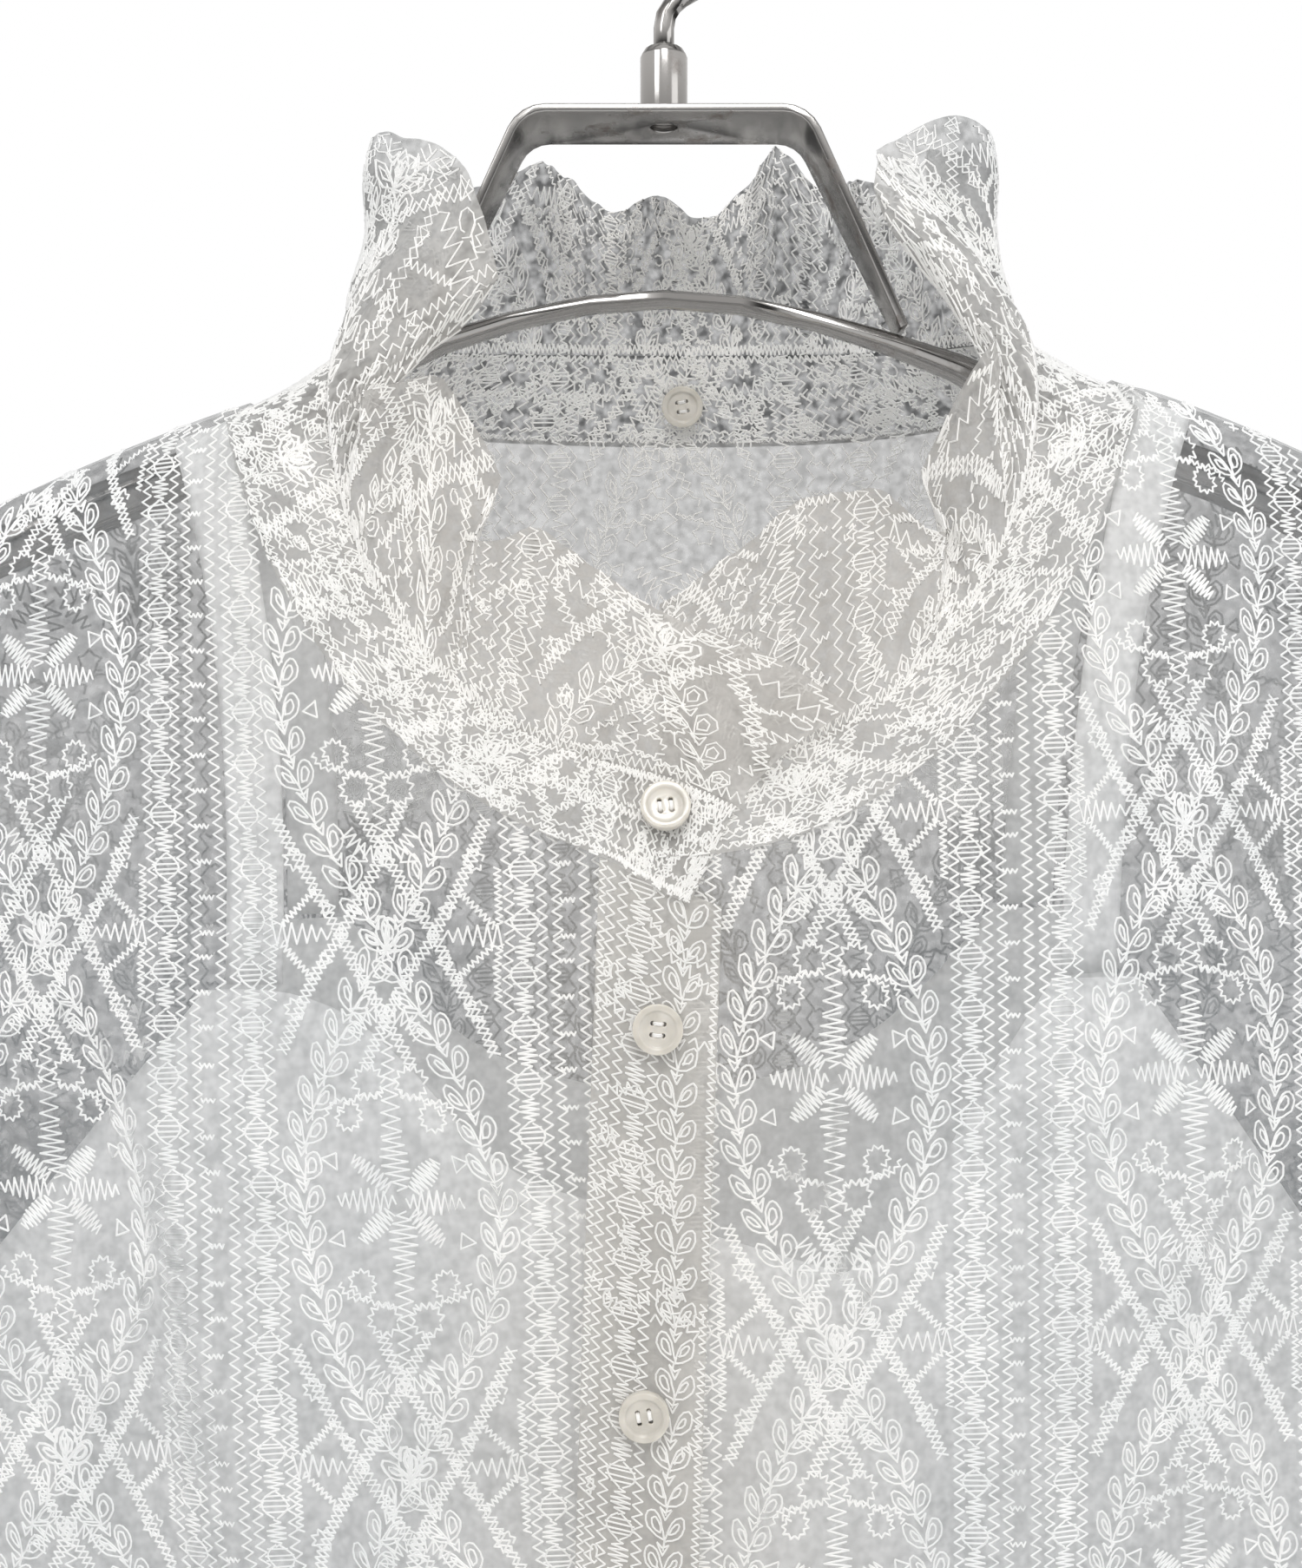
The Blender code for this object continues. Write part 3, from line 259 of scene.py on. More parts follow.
def apply_modifier(piece, kind, **settings):
    modifier = piece.modifiers.new(kind.title(), kind)
    for name, value in settings.items():
        setattr(modifier, name, value)
    bpy.context.view_layer.objects.active = piece
    bpy.ops.object.modifier_apply(modifier=modifier.name)


SLEEVE_TOP_X, SLEEVE_TOP_Z, SLEEVE_SLOPE = 0.215, -0.28, 0.19
NECK_MIDDLE_X, SHOULDER_Z = 0.004, -0.25


def from_middle(place):
    """Outwards from the garment's middle plane and axis."""
    return Vector((place.x * 0.1, place.y, 0.0))


def sleeve_middle(z, side):
    """Where the middle line of a sleeve lies at a height, or at an array of heights."""
    return side * (SLEEVE_TOP_X + SLEEVE_SLOPE * (SLEEVE_TOP_Z - z))


def from_sleeve(place):
    """Outwards from the middle line of the sleeve at a place."""
    return place - Vector((sleeve_middle(place.z, math.copysign(1.0, place.x)), 0.0, place.z))


def from_neck(place):
    return Vector((place.x - NECK_MIDDLE_X, place.y, 0.0))


def from_shoulder(place):
    return Vector((0.0, place.y, place.z - SHOULDER_Z))


# %% Cut out every cloth piece
SHEER = {
    "front_right": from_middle, "front_left": from_middle, "back": from_middle,
    "sleeve_right": from_sleeve, "sleeve_left": from_sleeve,
    "cuff_right": from_sleeve, "cuff_left": from_sleeve,
    "collar_band": from_neck, "front_placket": from_middle, "collar_ruffle": from_neck,
}
LINING = {
    "camisole_front": from_middle, "camisole_back": from_middle,
    "camisole_strap_right": from_shoulder, "camisole_strap_left": from_shoulder,
}
cloth = {}
for node, outward in {**SHEER, **LINING}.items():
    cloth[node] = outer_sheet(node, outward, levels=2)
    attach(cloth[node], BODY)
    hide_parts(node)

# %% [markdown]
# ## Creases
#
# Sheer cloth on a hanger never hangs quite flat. Each crease is a soft trough or ridge along a bowed line,
# with its own length, depth and width. It is laid where the photograph shows one, and in a like way
# on the sides that it hides. Points of the sheet move along their normals.

# %% Creases, listed one by one
CREASES = {
    # side: (x_top, z_top, x_low, z_low, bow, half_width, height)
    -1: [
        (-0.1370, -0.250, -0.1020, -0.400, 0.006, 0.0060, -0.0022),
        (-0.1290, -0.258, -0.0960, -0.360, 0.005, 0.0050, 0.0014),
        (-0.0850, -0.190, -0.0780, -0.300, -0.003, 0.0045, 0.0011),
        (-0.0960, -0.172, -0.0900, -0.260, 0.002, 0.0035, -0.0009),
        (-0.0700, -0.330, -0.0560, -0.470, 0.004, 0.0060, 0.0016),
        (-0.0480, -0.350, -0.0520, -0.520, -0.003, 0.0070, -0.0015),
        (-0.0300, -0.262, -0.0480, -0.330, 0.004, 0.0040, 0.0010),
        (-0.0260, -0.300, -0.0460, -0.352, -0.003, 0.0032, -0.0008),
        (-0.0240, -0.395, -0.0520, -0.452, 0.003, 0.0042, 0.0011),
        (-0.1540, -0.300, -0.1240, -0.380, 0.004, 0.0070, -0.0021),
        (-0.1690, -0.330, -0.1410, -0.470, 0.007, 0.0080, 0.0022),
        (-0.1250, -0.420, -0.1180, -0.640, 0.005, 0.0090, 0.0024),
        (-0.1040, -0.450, -0.1070, -0.720, -0.004, 0.0080, -0.0020),
        (-0.0300, -0.540, -0.0340, -0.730, 0.004, 0.0080, 0.0020),
        (-0.1890, -0.430, -0.1850, -0.700, -0.004, 0.0100, -0.0026),
        (0.0240, -0.258, 0.0420, -0.318, -0.003, 0.0038, 0.0010),
        (0.0210, -0.296, 0.0430, -0.345, 0.003, 0.0032, -0.0008),
        (0.0230, -0.372, 0.0470, -0.430, -0.003, 0.0042, 0.0011),
        (0.0870, -0.196, 0.0790, -0.306, 0.003, 0.0045, 0.0012),
        (0.1010, -0.170, 0.0960, -0.270, -0.002, 0.0036, -0.0010),
        (0.1300, -0.205, 0.1190, -0.330, -0.004, 0.0055, 0.0014),
        (0.1440, -0.250, 0.1160, -0.370, -0.005, 0.0060, -0.0018),
        (0.0560, -0.320, 0.0600, -0.470, 0.004, 0.0062, -0.0014),
        (0.0760, -0.350, 0.0720, -0.520, -0.003, 0.0070, 0.0016),
        (0.1560, -0.310, 0.1290, -0.430, 0.004, 0.0075, 0.0021),
        (0.1280, -0.440, 0.1230, -0.690, -0.006, 0.0090, 0.0023),
        (0.1060, -0.480, 0.1110, -0.730, 0.004, 0.0080, -0.0020),
        (0.0330, -0.520, 0.0300, -0.720, -0.004, 0.0080, 0.0018),
        (0.1880, -0.420, 0.1840, -0.720, 0.004, 0.0100, -0.0025),
    ],
    1: [
        (-0.1480, -0.240, -0.1080, -0.430, 0.006, 0.0070, -0.0020),
        (-0.1180, -0.215, -0.0900, -0.390, -0.004, 0.0060, 0.0016),
        (-0.0550, -0.180, -0.0620, -0.330, 0.004, 0.0060, 0.0013),
        (-0.0180, -0.165, -0.0240, -0.300, -0.003, 0.0050, -0.0011),
        (0.0310, -0.170, 0.0280, -0.340, 0.004, 0.0060, 0.0014),
        (0.0840, -0.200, 0.0760, -0.370, -0.004, 0.0060, -0.0014),
        (0.1210, -0.230, 0.0960, -0.410, 0.005, 0.0070, 0.0019),
        (0.1500, -0.260, 0.1180, -0.450, -0.004, 0.0070, -0.0020),
        (-0.1290, -0.440, -0.1330, -0.720, 0.006, 0.0090, 0.0023),
        (-0.0860, -0.410, -0.0900, -0.680, -0.004, 0.0080, -0.0019),
        (0.0240, -0.450, 0.0300, -0.730, 0.004, 0.0090, 0.0020),
        (0.0900, -0.430, 0.0960, -0.700, -0.005, 0.0080, -0.0020),
        (0.1340, -0.460, 0.1310, -0.730, 0.004, 0.0090, 0.0022),
        (-0.1850, -0.440, -0.1880, -0.700, 0.004, 0.0100, -0.0024),
        (0.1850, -0.450, 0.1870, -0.720, -0.004, 0.0100, -0.0024),
    ],
}
CREASE_ENDS = 0.28


def soft_step(share):
    share = np.clip(share, 0.0, 1.0)
    return share * share * (3 - 2 * share)


def crease_height(x, z, side):
    """How far the creases of one side push the cloth outwards, for arrays of places."""
    total = np.zeros_like(x)
    for x_top, z_top, x_low, z_low, bow, half_width, height in CREASES[side]:
        along = (z_top - z) / (z_top - z_low)
        line = x_top + (x_low - x_top) * along + bow * np.sin(math.pi * np.clip(along, 0, 1))
        total += height * fading(along) * np.exp(-(((x - line) / half_width) ** 2))
    return total


def read_points(piece, what="co"):
    """The places of a piece's points, or their normals when what is "normal"."""
    values = np.empty(len(piece.data.vertices) * 3)
    piece.data.vertices.foreach_get(what, values)
    return values.reshape(-1, 3)


def push_out(piece, height):
    """Moves every point of a piece along its normal, by an array of heights."""
    points = read_points(piece) + read_points(piece, "normal") * height[:, None]
    piece.data.vertices.foreach_set("co", np.ascontiguousarray(points, dtype=np.float32).ravel())
    piece.data.update()
    print(piece.name, "creases of", np.round([height.min() * 1000, height.max() * 1000], 1).tolist(), "mm")


def fading(along):
    """1 along the middle of a crease, and 0 at both its ends."""
    return soft_step(along / CREASE_ENDS) * soft_step((1 - along) / CREASE_ENDS)


for node, side in (("front_right", -1), ("front_left", -1), ("back", 1)):
    points = read_points(cloth[node])
    push_out(cloth[node], crease_height(points[:, 0], points[:, 2], side))

# %% Creases round the sleeves
SLEEVE_CREASES = [
    # turn (degrees from the outer side to the front), z_top, z_low, drift (degrees), half_width, height
    (20, -0.250, -0.420, 34, 0.0070, -0.0022),
    (-35, -0.230, -0.400, -22, 0.0080, 0.0021),
    (75, -0.330, -0.520, 30, 0.0065, 0.0019),
    (120, -0.400, -0.560, -35, 0.0060, -0.0018),
    (-90, -0.360, -0.560, 28, 0.0070, -0.0020),
    (165, -0.420, -0.650, 24, 0.0070, 0.0020),
    (10, -0.430, -0.640, -26, 0.0070, 0.0021),
    (60, -0.520, -0.690, 18, 0.0060, -0.0018),
    (-60, -0.500, -0.690, -20, 0.0065, 0.0019),
    (-140, -0.470, -0.660, 22, 0.0060, 0.0018),
]
TURN_OFFSET = 12

for node, side in (("sleeve_right", -1), ("sleeve_left", 1)):
    points = read_points(cloth[node])
    across = (points[:, 0] - sleeve_middle(points[:, 2], side)) * side
    turn = np.degrees(np.arctan2(-points[:, 1], across))
    radius = np.hypot(across, points[:, 1])
    height = np.zeros(len(points))
    for start, z_top, z_low, drift, half_width, depth in SLEEVE_CREASES:
        along = (z_top - points[:, 2]) / (z_top - z_low)
        off = (turn - start - drift * along + side * TURN_OFFSET + 180) % 360 - 180
        height += depth * fading(along) * np.exp(-((np.radians(off) * radius / half_width) ** 2))
    push_out(cloth[node], height)

# %% [markdown]
# ## The ruffle
#
# The ruffle is a long strip of the same lace, gathered into the top of the band. Its big flaps come from the
# frame: the two long edges of that sheet say where it is sewn and where its free edge goes. Between them it
# is woven anew with many more columns, so that it can have small gathers at the seam, a wavy free edge and
# soft dents in its flaps. The band and the front strip are woven anew in the same way.

# %% Read the long edges of a strip
RUFFLE_ROWS = 22
RUFFLE_LEAN = 1.25


def long_edges(piece):
    """The two long edges of an open strip, the lower one first, as points that run the same way."""
    strip = bmesh.new()
    strip.from_mesh(piece.data)
    first = next(vert for vert in strip.verts if len(vert.link_edges) == 2)
    runs, vert, last_edge = [[first]], first, None
    while True:
        edge = next(edge for edge in vert.link_edges if edge.is_boundary and edge != last_edge)
        vert, last_edge = edge.other_vert(vert), edge
        runs[-1].append(vert)
        if vert == first:
            break
        if len(vert.link_edges) == 2:
            runs.append([vert])
    runs = sorted(runs, key=len)[-2:]
    edges = [np.array([vert.co[:] for vert in run]) for run in runs]
    strip.free()
    edges.sort(key=lambda points: points[:, 2].mean())
    print(piece.name, "has edges of", [len(points) for points in edges], "points")
    return edges[0], edges[1][::-1]


def resampled(points, count):
    """The same line with evenly shared columns."""
    old, new = np.linspace(0, 1, len(points)), np.linspace(0, 1, count)
    return np.stack([np.interp(new, old, points[:, axis]) for axis in range(points.shape[1])], axis=1)


def soft_noise(count, spacing, seed):
    """An even random wave of one number a column, that changes over spacing columns."""
    knots = np.random.default_rng(seed).uniform(-1, 1, count // spacing + 3)
    at = np.arange(count) / spacing
    low = at.astype(int)
    share = soft_step(at - low)
    return knots[low] * (1 - share) + knots[low + 1] * share


def grid_mesh(name, grid):
    """A mesh of four-sided faces from rows and columns of points."""
    rows, columns = grid.shape[:2]
    corner = np.arange(rows * columns).reshape(rows, columns)
    faces = np.stack([corner[:-1, :-1], corner[:-1, 1:], corner[1:, 1:], corner[1:, :-1]], axis=-1)
    mesh = bpy.data.meshes.new(name)
    mesh.from_pydata(grid.reshape(-1, 3).tolist(), [], faces.reshape(-1, 4).tolist())
    mesh.shade_smooth()
    return mesh


def grid_normals(grid):
    """Unit normals of a grid of points, along rows x columns."""
    along, up = np.gradient(grid, axis=1), np.gradient(grid, axis=0)
    normals = np.cross(along, up)
    return normals / np.maximum(np.linalg.norm(normals, axis=-1, keepdims=True), 1e-12)


# %% Weave the ruffle anew
GATHER_PITCH, GATHER_HEIGHT = 0.0062, 0.0011
EDGE_WAVE, FLAP_DENT, SEWN_IN = 0.0007, 0.0009, 0.0028

low, high = long_edges(cloth["collar_ruffle"])
columns = 2 * len(low) - 1
low, high = resampled(low, columns), resampled(high, columns)
along = np.concatenate([[0.0], np.cumsum(np.linalg.norm(np.diff(low, axis=0), axis=1))])
share = np.linspace(0, 1, RUFFLE_ROWS + 1)[:, None]
rise = high - low
ruffle_grid = low[None] + rise[None] * share[:, :, None]
ruffle_grid[..., :2] = low[None, :, :2] + rise[None, :, :2] * (share**RUFFLE_LEAN)[:, :, None]
outwards = grid_normals(ruffle_grid)
phase = 2 * math.pi * along / GATHER_PITCH + 2.2 * soft_noise(columns, 22, 3)
gathers = np.sin(phase) * (0.65 + 0.35 * soft_noise(columns, 15, 4))
fade_up = soft_step(share / 0.14) * (1 - share) ** 1.4
dents = sum(
    np.sin(math.pi * (turns * share + 0.3 * turns)) * soft_noise(columns, 38, 10 + turns)
    for turns in (1, 2, 3)
)
push = GATHER_HEIGHT * fade_up * gathers
push = push + FLAP_DENT * dents * soft_step(share / 0.3) * soft_step((1.08 - share) / 0.3)
ruffle_grid = ruffle_grid + outwards * push[..., None]
edge_noise = soft_noise(columns, 9, 21) + 0.6 * soft_noise(columns, 4, 22)
ruffle_grid[..., 2] += EDGE_WAVE * (share**3) * edge_noise
sewn_in = ruffle_grid[:1] - np.array([0.0, 0.0, SEWN_IN])
ruffle_grid = np.concatenate([sewn_in, ruffle_grid])
cloth["collar_ruffle"].data = grid_mesh("collar_ruffle_cloth", ruffle_grid)
print("ruffle:", columns, "columns, sewn length", round(along[-1], 3), "m")

# %% Weave the band anew
band_low, band_high = long_edges(cloth["collar_band"])
BAND_ROWS_FINE, BAND_PUCKER = 10, 0.0005
BAND_LAP, BAND_LAP_OUT = 0.0016, 0.0006
columns = 3 * len(band_low) - 2
band_low, band_high = resampled(band_low, columns), resampled(band_high, columns)
share = np.linspace(0, 1, BAND_ROWS_FINE + 1)[:, None, None]
band_grid = band_low[None] * (1 - share) + band_high[None] * share
uneven = soft_noise(columns, 7, 31) + soft_noise(columns, 16, 32)
pucker = BAND_PUCKER * np.sin(math.pi * share[..., 0]) * uneven
band_grid = band_grid + grid_normals(band_grid) * pucker[..., None]
down = band_low - band_high
lap = down / np.linalg.norm(down, axis=1, keepdims=True) * BAND_LAP
away = grid_normals(band_grid)[0]
away = away * np.sign((away * (band_low - band_low.mean(axis=0))).sum(axis=1, keepdims=True))
band_grid = np.concatenate([[band_low + lap + away * BAND_LAP_OUT], band_grid])
cloth["collar_band"].data = grid_mesh("collar_band_cloth", band_grid)
print("band:", columns, "columns")

# %% Weave the placket anew
PLACKET_ROWS_FINE, PLACKET_PUCKER = 8, 0.0004
placket_edges = sorted(long_edges(cloth["front_placket"]), key=lambda points: points[:, 0].mean())
columns = 3 * len(placket_edges[0]) - 2
left_edge, right_edge = (resampled(points[np.argsort(points[:, 2])], columns) for points in placket_edges)
share = np.linspace(0, 1, PLACKET_ROWS_FINE + 1)[:, None, None]
placket_grid = left_edge[None] * (1 - share) + right_edge[None] * share
uneven = soft_noise(columns, 9, 41) + soft_noise(columns, 21, 42)
pucker = PLACKET_PUCKER * np.sin(math.pi * share[..., 0]) * uneven
placket_grid[..., 1] -= pucker + PLACKET_PUCKER
cloth["front_placket"].data = grid_mesh("front_placket_cloth", placket_grid)
print("placket:", columns, "columns")

# %% [markdown]
# ## The lining
#
# The camisole is plain, opaque and a little thicker than the lace. Its sheets get a thin wall, so that their
# edges are seen as a fold of cloth.

# %% Give the lining its thickness
LINING_WALL = 0.0005
for node in LINING:
    apply_modifier(cloth[node], "SOLIDIFY", thickness=LINING_WALL, offset=0.0)
    print(node, "wall of", LINING_WALL * 1000, "mm")

# %% [markdown]
# ## Finishes
#
# Four finishes cover the object: the sheer woven ground, the raised thread, the smooth lining, and later the
# resin and the steel. The ground is see-through, which a plain alpha gives at once: it varies softly, as the
# density of real cloth does, and the weave gives only a fine relief. Effects that more than one
# material uses are node groups, built once.


# %% Helpers for node trees
def new_group(name, inputs, outputs):
    """An empty shader node group with named sockets, and its input and output nodes."""
    group = bpy.data.node_groups.new(name, "ShaderNodeTree")
    for socket_name, kind, default in inputs:
        socket = group.interface.new_socket(socket_name, in_out="INPUT", socket_type=kind)
        if default is not None:
            socket.default_value = default
    for socket_name, kind in outputs:
        group.interface.new_socket(socket_name, in_out="OUTPUT", socket_type=kind)
    return group, group.nodes.new("NodeGroupInput"), group.nodes.new("NodeGroupOutput")


def add_node(tree, kind, **settings):
    node = tree.nodes.new(kind)
    for name, value in settings.items():
        setattr(node, name, value)
    return node


def mapped(tree, source, low, high, to_low=0.0, to_high=1.0):
    """The source, from low to high, as a value from to_low to to_high."""
    node = tree.nodes.new("ShaderNodeMapRange")
    for socket, value in zip(("From Min", "From Max", "To Min", "To Max"), (low, high, to_low, to_high)):
        node.inputs[socket].default_value = value
    tree.links.new(source, node.inputs["Value"])
    return node.outputs["Result"]


def mixed(tree, share, first, second):
    """A colour between two, by share. Each is a fixed colour or what comes out of another node."""
    node = tree.nodes.new("ShaderNodeMix")
    node.data_type = "RGBA"
    set_or_link(tree, node.inputs["A"], first)
    set_or_link(tree, node.inputs["B"], second)
    tree.links.new(share, node.inputs["Factor"])
    return node.outputs["Result"]


def larger(tree, first, second):
    """The larger of two values."""
    node = add_node(tree, "ShaderNodeMath", operation="MAXIMUM")
    tree.links.new(first, node.inputs[0])
    tree.links.new(second, node.inputs[1])
    return node.outputs[0]


def set_inputs(node, **values):
    """Sets sockets by name, with an underscore for each space."""
    for name, value in values.items():
        node.inputs[name.replace("_", " ")].default_value = value


def new_material(name):
    """A material with an empty tree, and its Principled shader."""
    material = bpy.data.materials.new(name)
    material.use_nodes = True
    tree = material.node_tree
    tree.nodes.clear()
    shader = tree.nodes.new("ShaderNodeBsdfPrincipled")
    output = tree.nodes.new("ShaderNodeOutputMaterial")
    tree.links.new(shader.outputs["BSDF"], output.inputs["Surface"])
    return material, tree, shader


def add_bump(tree, shader, height, strength, distance):
    node = tree.nodes.new("ShaderNodeBump")
    set_inputs(node, Strength=strength, Distance=distance)
    tree.links.new(height, node.inputs["Height"])
    tree.links.new(node.outputs["Normal"], shader.inputs["Normal"])


# %% Shared effects: a weave, soft clouds, and the warm tone round the collar
def weave_group():
    """Two crossed sets of fine threads. Height is the thread's rise."""
    group, entry, leave = new_group(
        "fine_weave",
        [("Place", "NodeSocketVector", None), ("Threads a metre", "NodeSocketFloat", 1500.0)],
        [("Height", "NodeSocketFloat")],
    )
    waves = []
    for direction in ("X", "Z"):
        wave = add_node(group, "ShaderNodeTexWave", wave_type="BANDS", bands_direction=direction)
        wave.inputs["Detail"].default_value = 0.0
        group.links.new(entry.outputs["Place"], wave.inputs["Vector"])
        group.links.new(entry.outputs["Threads a metre"], wave.inputs["Scale"])
        waves.append(wave.outputs["Fac"])
    group.links.new(larger(group, *waves), leave.inputs["Height"])
    return group


def cloud_group():
    """Soft random clouds of a size that is given in clouds a metre."""
    group, entry, leave = new_group(
        "soft_clouds",
        [("Place", "NodeSocketVector", None), ("Clouds a metre", "NodeSocketFloat", 60.0)],
        [("Amount", "NodeSocketFloat")],
    )
    noise = add_node(group, "ShaderNodeTexNoise")
    noise.inputs["Detail"].default_value = 1.0
    group.links.new(entry.outputs["Place"], noise.inputs["Vector"])
    group.links.new(entry.outputs["Clouds a metre"], noise.inputs["Scale"])
    group.links.new(noise.outputs["Fac"], leave.inputs["Amount"])
    return group


STRIP_FADE, NECK_FADE = (0.012, 0.060, 0.75, 0.0), (0.055, 0.125, 1.0, 0.0)
NECK_PLACE = (0.002, -0.03, -0.165)


def collar_group():
    """A mask that is 1 at the collar, less at the front strip, and 0 a few centimetres from them."""
    group, entry, leave = new_group(
        "collar_tone", [("Place", "NodeSocketVector", None)], [("Amount", "NodeSocketFloat")]
    )
    split = add_node(group, "ShaderNodeSeparateXYZ")
    group.links.new(entry.outputs["Place"], split.inputs[0])
    across = add_node(group, "ShaderNodeMath", operation="ABSOLUTE")
    group.links.new(split.outputs["X"], across.inputs[0])
    strip = mapped(group, across.outputs[0], *STRIP_FADE)
    down = add_node(group, "ShaderNodeVectorMath", operation="DISTANCE")
    down.inputs[1].default_value = NECK_PLACE
    group.links.new(entry.outputs["Place"], down.inputs[0])
    ring = mapped(group, down.outputs["Value"], *NECK_FADE)
    group.links.new(larger(group, strip, ring), leave.inputs["Amount"])
    return group


WEAVE, CLOUDS, COLLAR_TONE = weave_group(), cloud_group(), collar_group()


def use_group(tree, group, place, amount=None):
    """A node group at a place, with its one number set. Gives its first output."""
    node = tree.nodes.new("ShaderNodeGroup")
    node.node_tree = group
    tree.links.new(place, node.inputs["Place"])
    if amount is not None:
        node.inputs[1].default_value = amount
    return node.outputs[0]


print("groups:", [group.name for group in bpy.data.node_groups])

# %% The sheer ground
# Each finish has a pale, a deep and a cream tone.
GROUND_TONES = ((0.26, 0.272, 0.28), (0.17, 0.182, 0.19), (0.42, 0.39, 0.35))
STRIP_TONES = ((0.52, 0.52, 0.51), (0.36, 0.36, 0.355), (0.60, 0.56, 0.50))
RUFFLE_TONES = ((0.46, 0.47, 0.475), (0.30, 0.31, 0.315), (0.52, 0.48, 0.43))
GROUND_COVER, BACK_COVER = (0.24, 0.48), (0.46, 0.72)
RUFFLE_COVER, STRIP_COVER = (0.52, 0.92), (0.54, 0.80)
# The ruffle's and the band's ground turn to a near-black grey towards their back half: painted shade inside
# the collar.
RUFFLE_PAINTED_SHADE = ((0.05, 0.053, 0.056), "Y", -0.005, 0.022)
BACK_INSIDE = ((0.30, 0.30, 0.295), "Z", -0.27, -0.235)
WARMTH, LINING_WARMTH = 0.6, 0.4
TONE_CLOUDS, MOTTLE_CLOUDS, GROUND_THREADS = 70.0, 420.0, 1400.0
CLOUD_EDGES = (0.35, 0.65)


def object_place(tree):
    return tree.nodes.new("ShaderNodeTexCoord").outputs["Object"]


def tinted(tree, place, pale, deep, cream, strength):
    """Pale to deep by soft clouds, and towards cream at the collar."""
    clouds = use_group(tree, CLOUDS, place, TONE_CLOUDS)
    base = mixed(tree, mapped(tree, clouds, *CLOUD_EDGES), pale, deep)
    warm = mapped(tree, use_group(tree, COLLAR_TONE, place), 0.0, 1.0, 0.0, strength)
    return mixed(tree, warm, base, cream)


def ground_material(name, tones, cover, change=None):
    """change is a second colour, and along which axis and from where to where the first turns into it."""
    material, tree, shader = new_material(name)
    place = object_place(tree)
    colour = tinted(tree, place, *tones, WARMTH)
    if change is not None:
        # A second colour along one axis. On the ruffle and the band this is painted shade towards the back.
        second, axis, start, end = change
        split = add_node(tree, "ShaderNodeSeparateXYZ")
        tree.links.new(place, split.inputs[0])
        colour = mixed(tree, mapped(tree, split.outputs[axis], start, end), colour, second)
    tree.links.new(colour, shader.inputs["Base Color"])
    mottle = use_group(tree, CLOUDS, place, MOTTLE_CLOUDS)
    tree.links.new(mapped(tree, mottle, 0.3, 0.7, *cover), shader.inputs["Alpha"])
    set_inputs(shader, Roughness=0.75, Sheen_Weight=0.15)
    add_bump(tree, shader, use_group(tree, WEAVE, place, GROUND_THREADS), 0.35, 0.0002)
    return material


sheer_ground = ground_material("sheer_ground", GROUND_TONES, GROUND_COVER)
ruffle_ground = ground_material("ruffle_ground", RUFFLE_TONES, RUFFLE_COVER, RUFFLE_PAINTED_SHADE)
strip_ground = ground_material("strip_ground", STRIP_TONES, STRIP_COVER)
back_ground = ground_material("back_ground", GROUND_TONES, BACK_COVER, BACK_INSIDE)

# %% The thread and the lining
THREAD_TONES = ((0.96, 0.96, 0.955), (0.88, 0.89, 0.89), (0.95, 0.92, 0.87))
LINING_TONES = ((0.97, 0.97, 0.97), (0.94, 0.945, 0.945), (0.96, 0.945, 0.92))


def cloth_material(name, tones, warmth, roughness, sheen, relief, fineness, strength):
    """An opaque finish with soft tones, and a fine relief of a kind, a fineness and a strength."""
    material, tree, shader = new_material(name)
    place = object_place(tree)
    tree.links.new(tinted(tree, place, *tones, warmth), shader.inputs["Base Color"])
    set_inputs(shader, Roughness=roughness, Sheen_Weight=sheen)
    add_bump(tree, shader, use_group(tree, relief, place, fineness), strength, 0.0001)
    return material


def set_finish(piece, material):
    piece.data.materials.clear()
    piece.data.materials.append(material)


thread = cloth_material("embroidery_thread", THREAD_TONES, WARMTH, 0.55, 0.3, CLOUDS, 5200.0, 0.5)
lining = cloth_material("camisole_lining", LINING_TONES, LINING_WARMTH, 0.6, 0.2, WEAVE, 1800.0, 0.25)
SPECIAL = {
    "collar_ruffle": ruffle_ground, "collar_band": ruffle_ground, "front_placket": strip_ground,
    "back": back_ground,
}
for node in SHEER:
    set_finish(cloth[node], SPECIAL.get(node, sheer_ground))
    cloth[node].visible_shadow = False
for node in LINING:
    set_finish(cloth[node], lining)
print("finishes:", [material.name for material in bpy.data.materials if material.use_nodes][-6:])

# %% [markdown]
# ## Embroidery: stitches as lines
#
# The embroidery is thread, laid on the ground in lines of stitches. Each line is drawn here in millimetres on
# flat cloth, as a designer's chart is, and later laid on the worn cloth. The chart is a common one: straight
# columns of zigzags and lens ladders, and between them medallions of leaf vines round a star.

# %% Lines of stitches on flat cloth
def spaced(path, step):
    """The path with a point every step millimetres."""
    lengths = np.concatenate([[0.0], np.cumsum(np.linalg.norm(np.diff(path, axis=0), axis=1))])
    at = np.linspace(0, lengths[-1], max(2, round(lengths[-1] / step) + 1))
    return np.stack([np.interp(at, lengths, path[:, axis]) for axis in (0, 1)], axis=1)


def sideways(path):
    """Unit steps to the left of a path, one a point."""
    ahead = np.gradient(path, axis=0)
    ahead = ahead / np.maximum(np.linalg.norm(ahead, axis=1, keepdims=True), 1e-9)
    return np.stack([-ahead[:, 1], ahead[:, 0]], axis=1)


def zigzag(path, widths, step, first=1):
    """Stitches to and fro along a path. widths are spread evenly along it."""
    base = spaced(np.asarray(path, float), step)
    widths = widths if len(widths) > 1 else widths * 2
    width = np.interp(np.linspace(0, 1, len(base)), np.linspace(0, 1, len(widths)), widths)
    swing = np.where(np.arange(len(base)) % 2, -0.5, 0.5) * width * first
    return base + sideways(base) * swing[:, None]


def arc(x, y, radius, start, end, count=12):
    """Points round a middle, in degrees. A pair of radii gives a spiral."""
    turn = np.radians(np.linspace(start, end, count))
    radius = np.linspace(*radius, count) if isinstance(radius, tuple) else radius
    return np.stack([x + radius * np.cos(turn), y + radius * np.sin(turn)], axis=1)


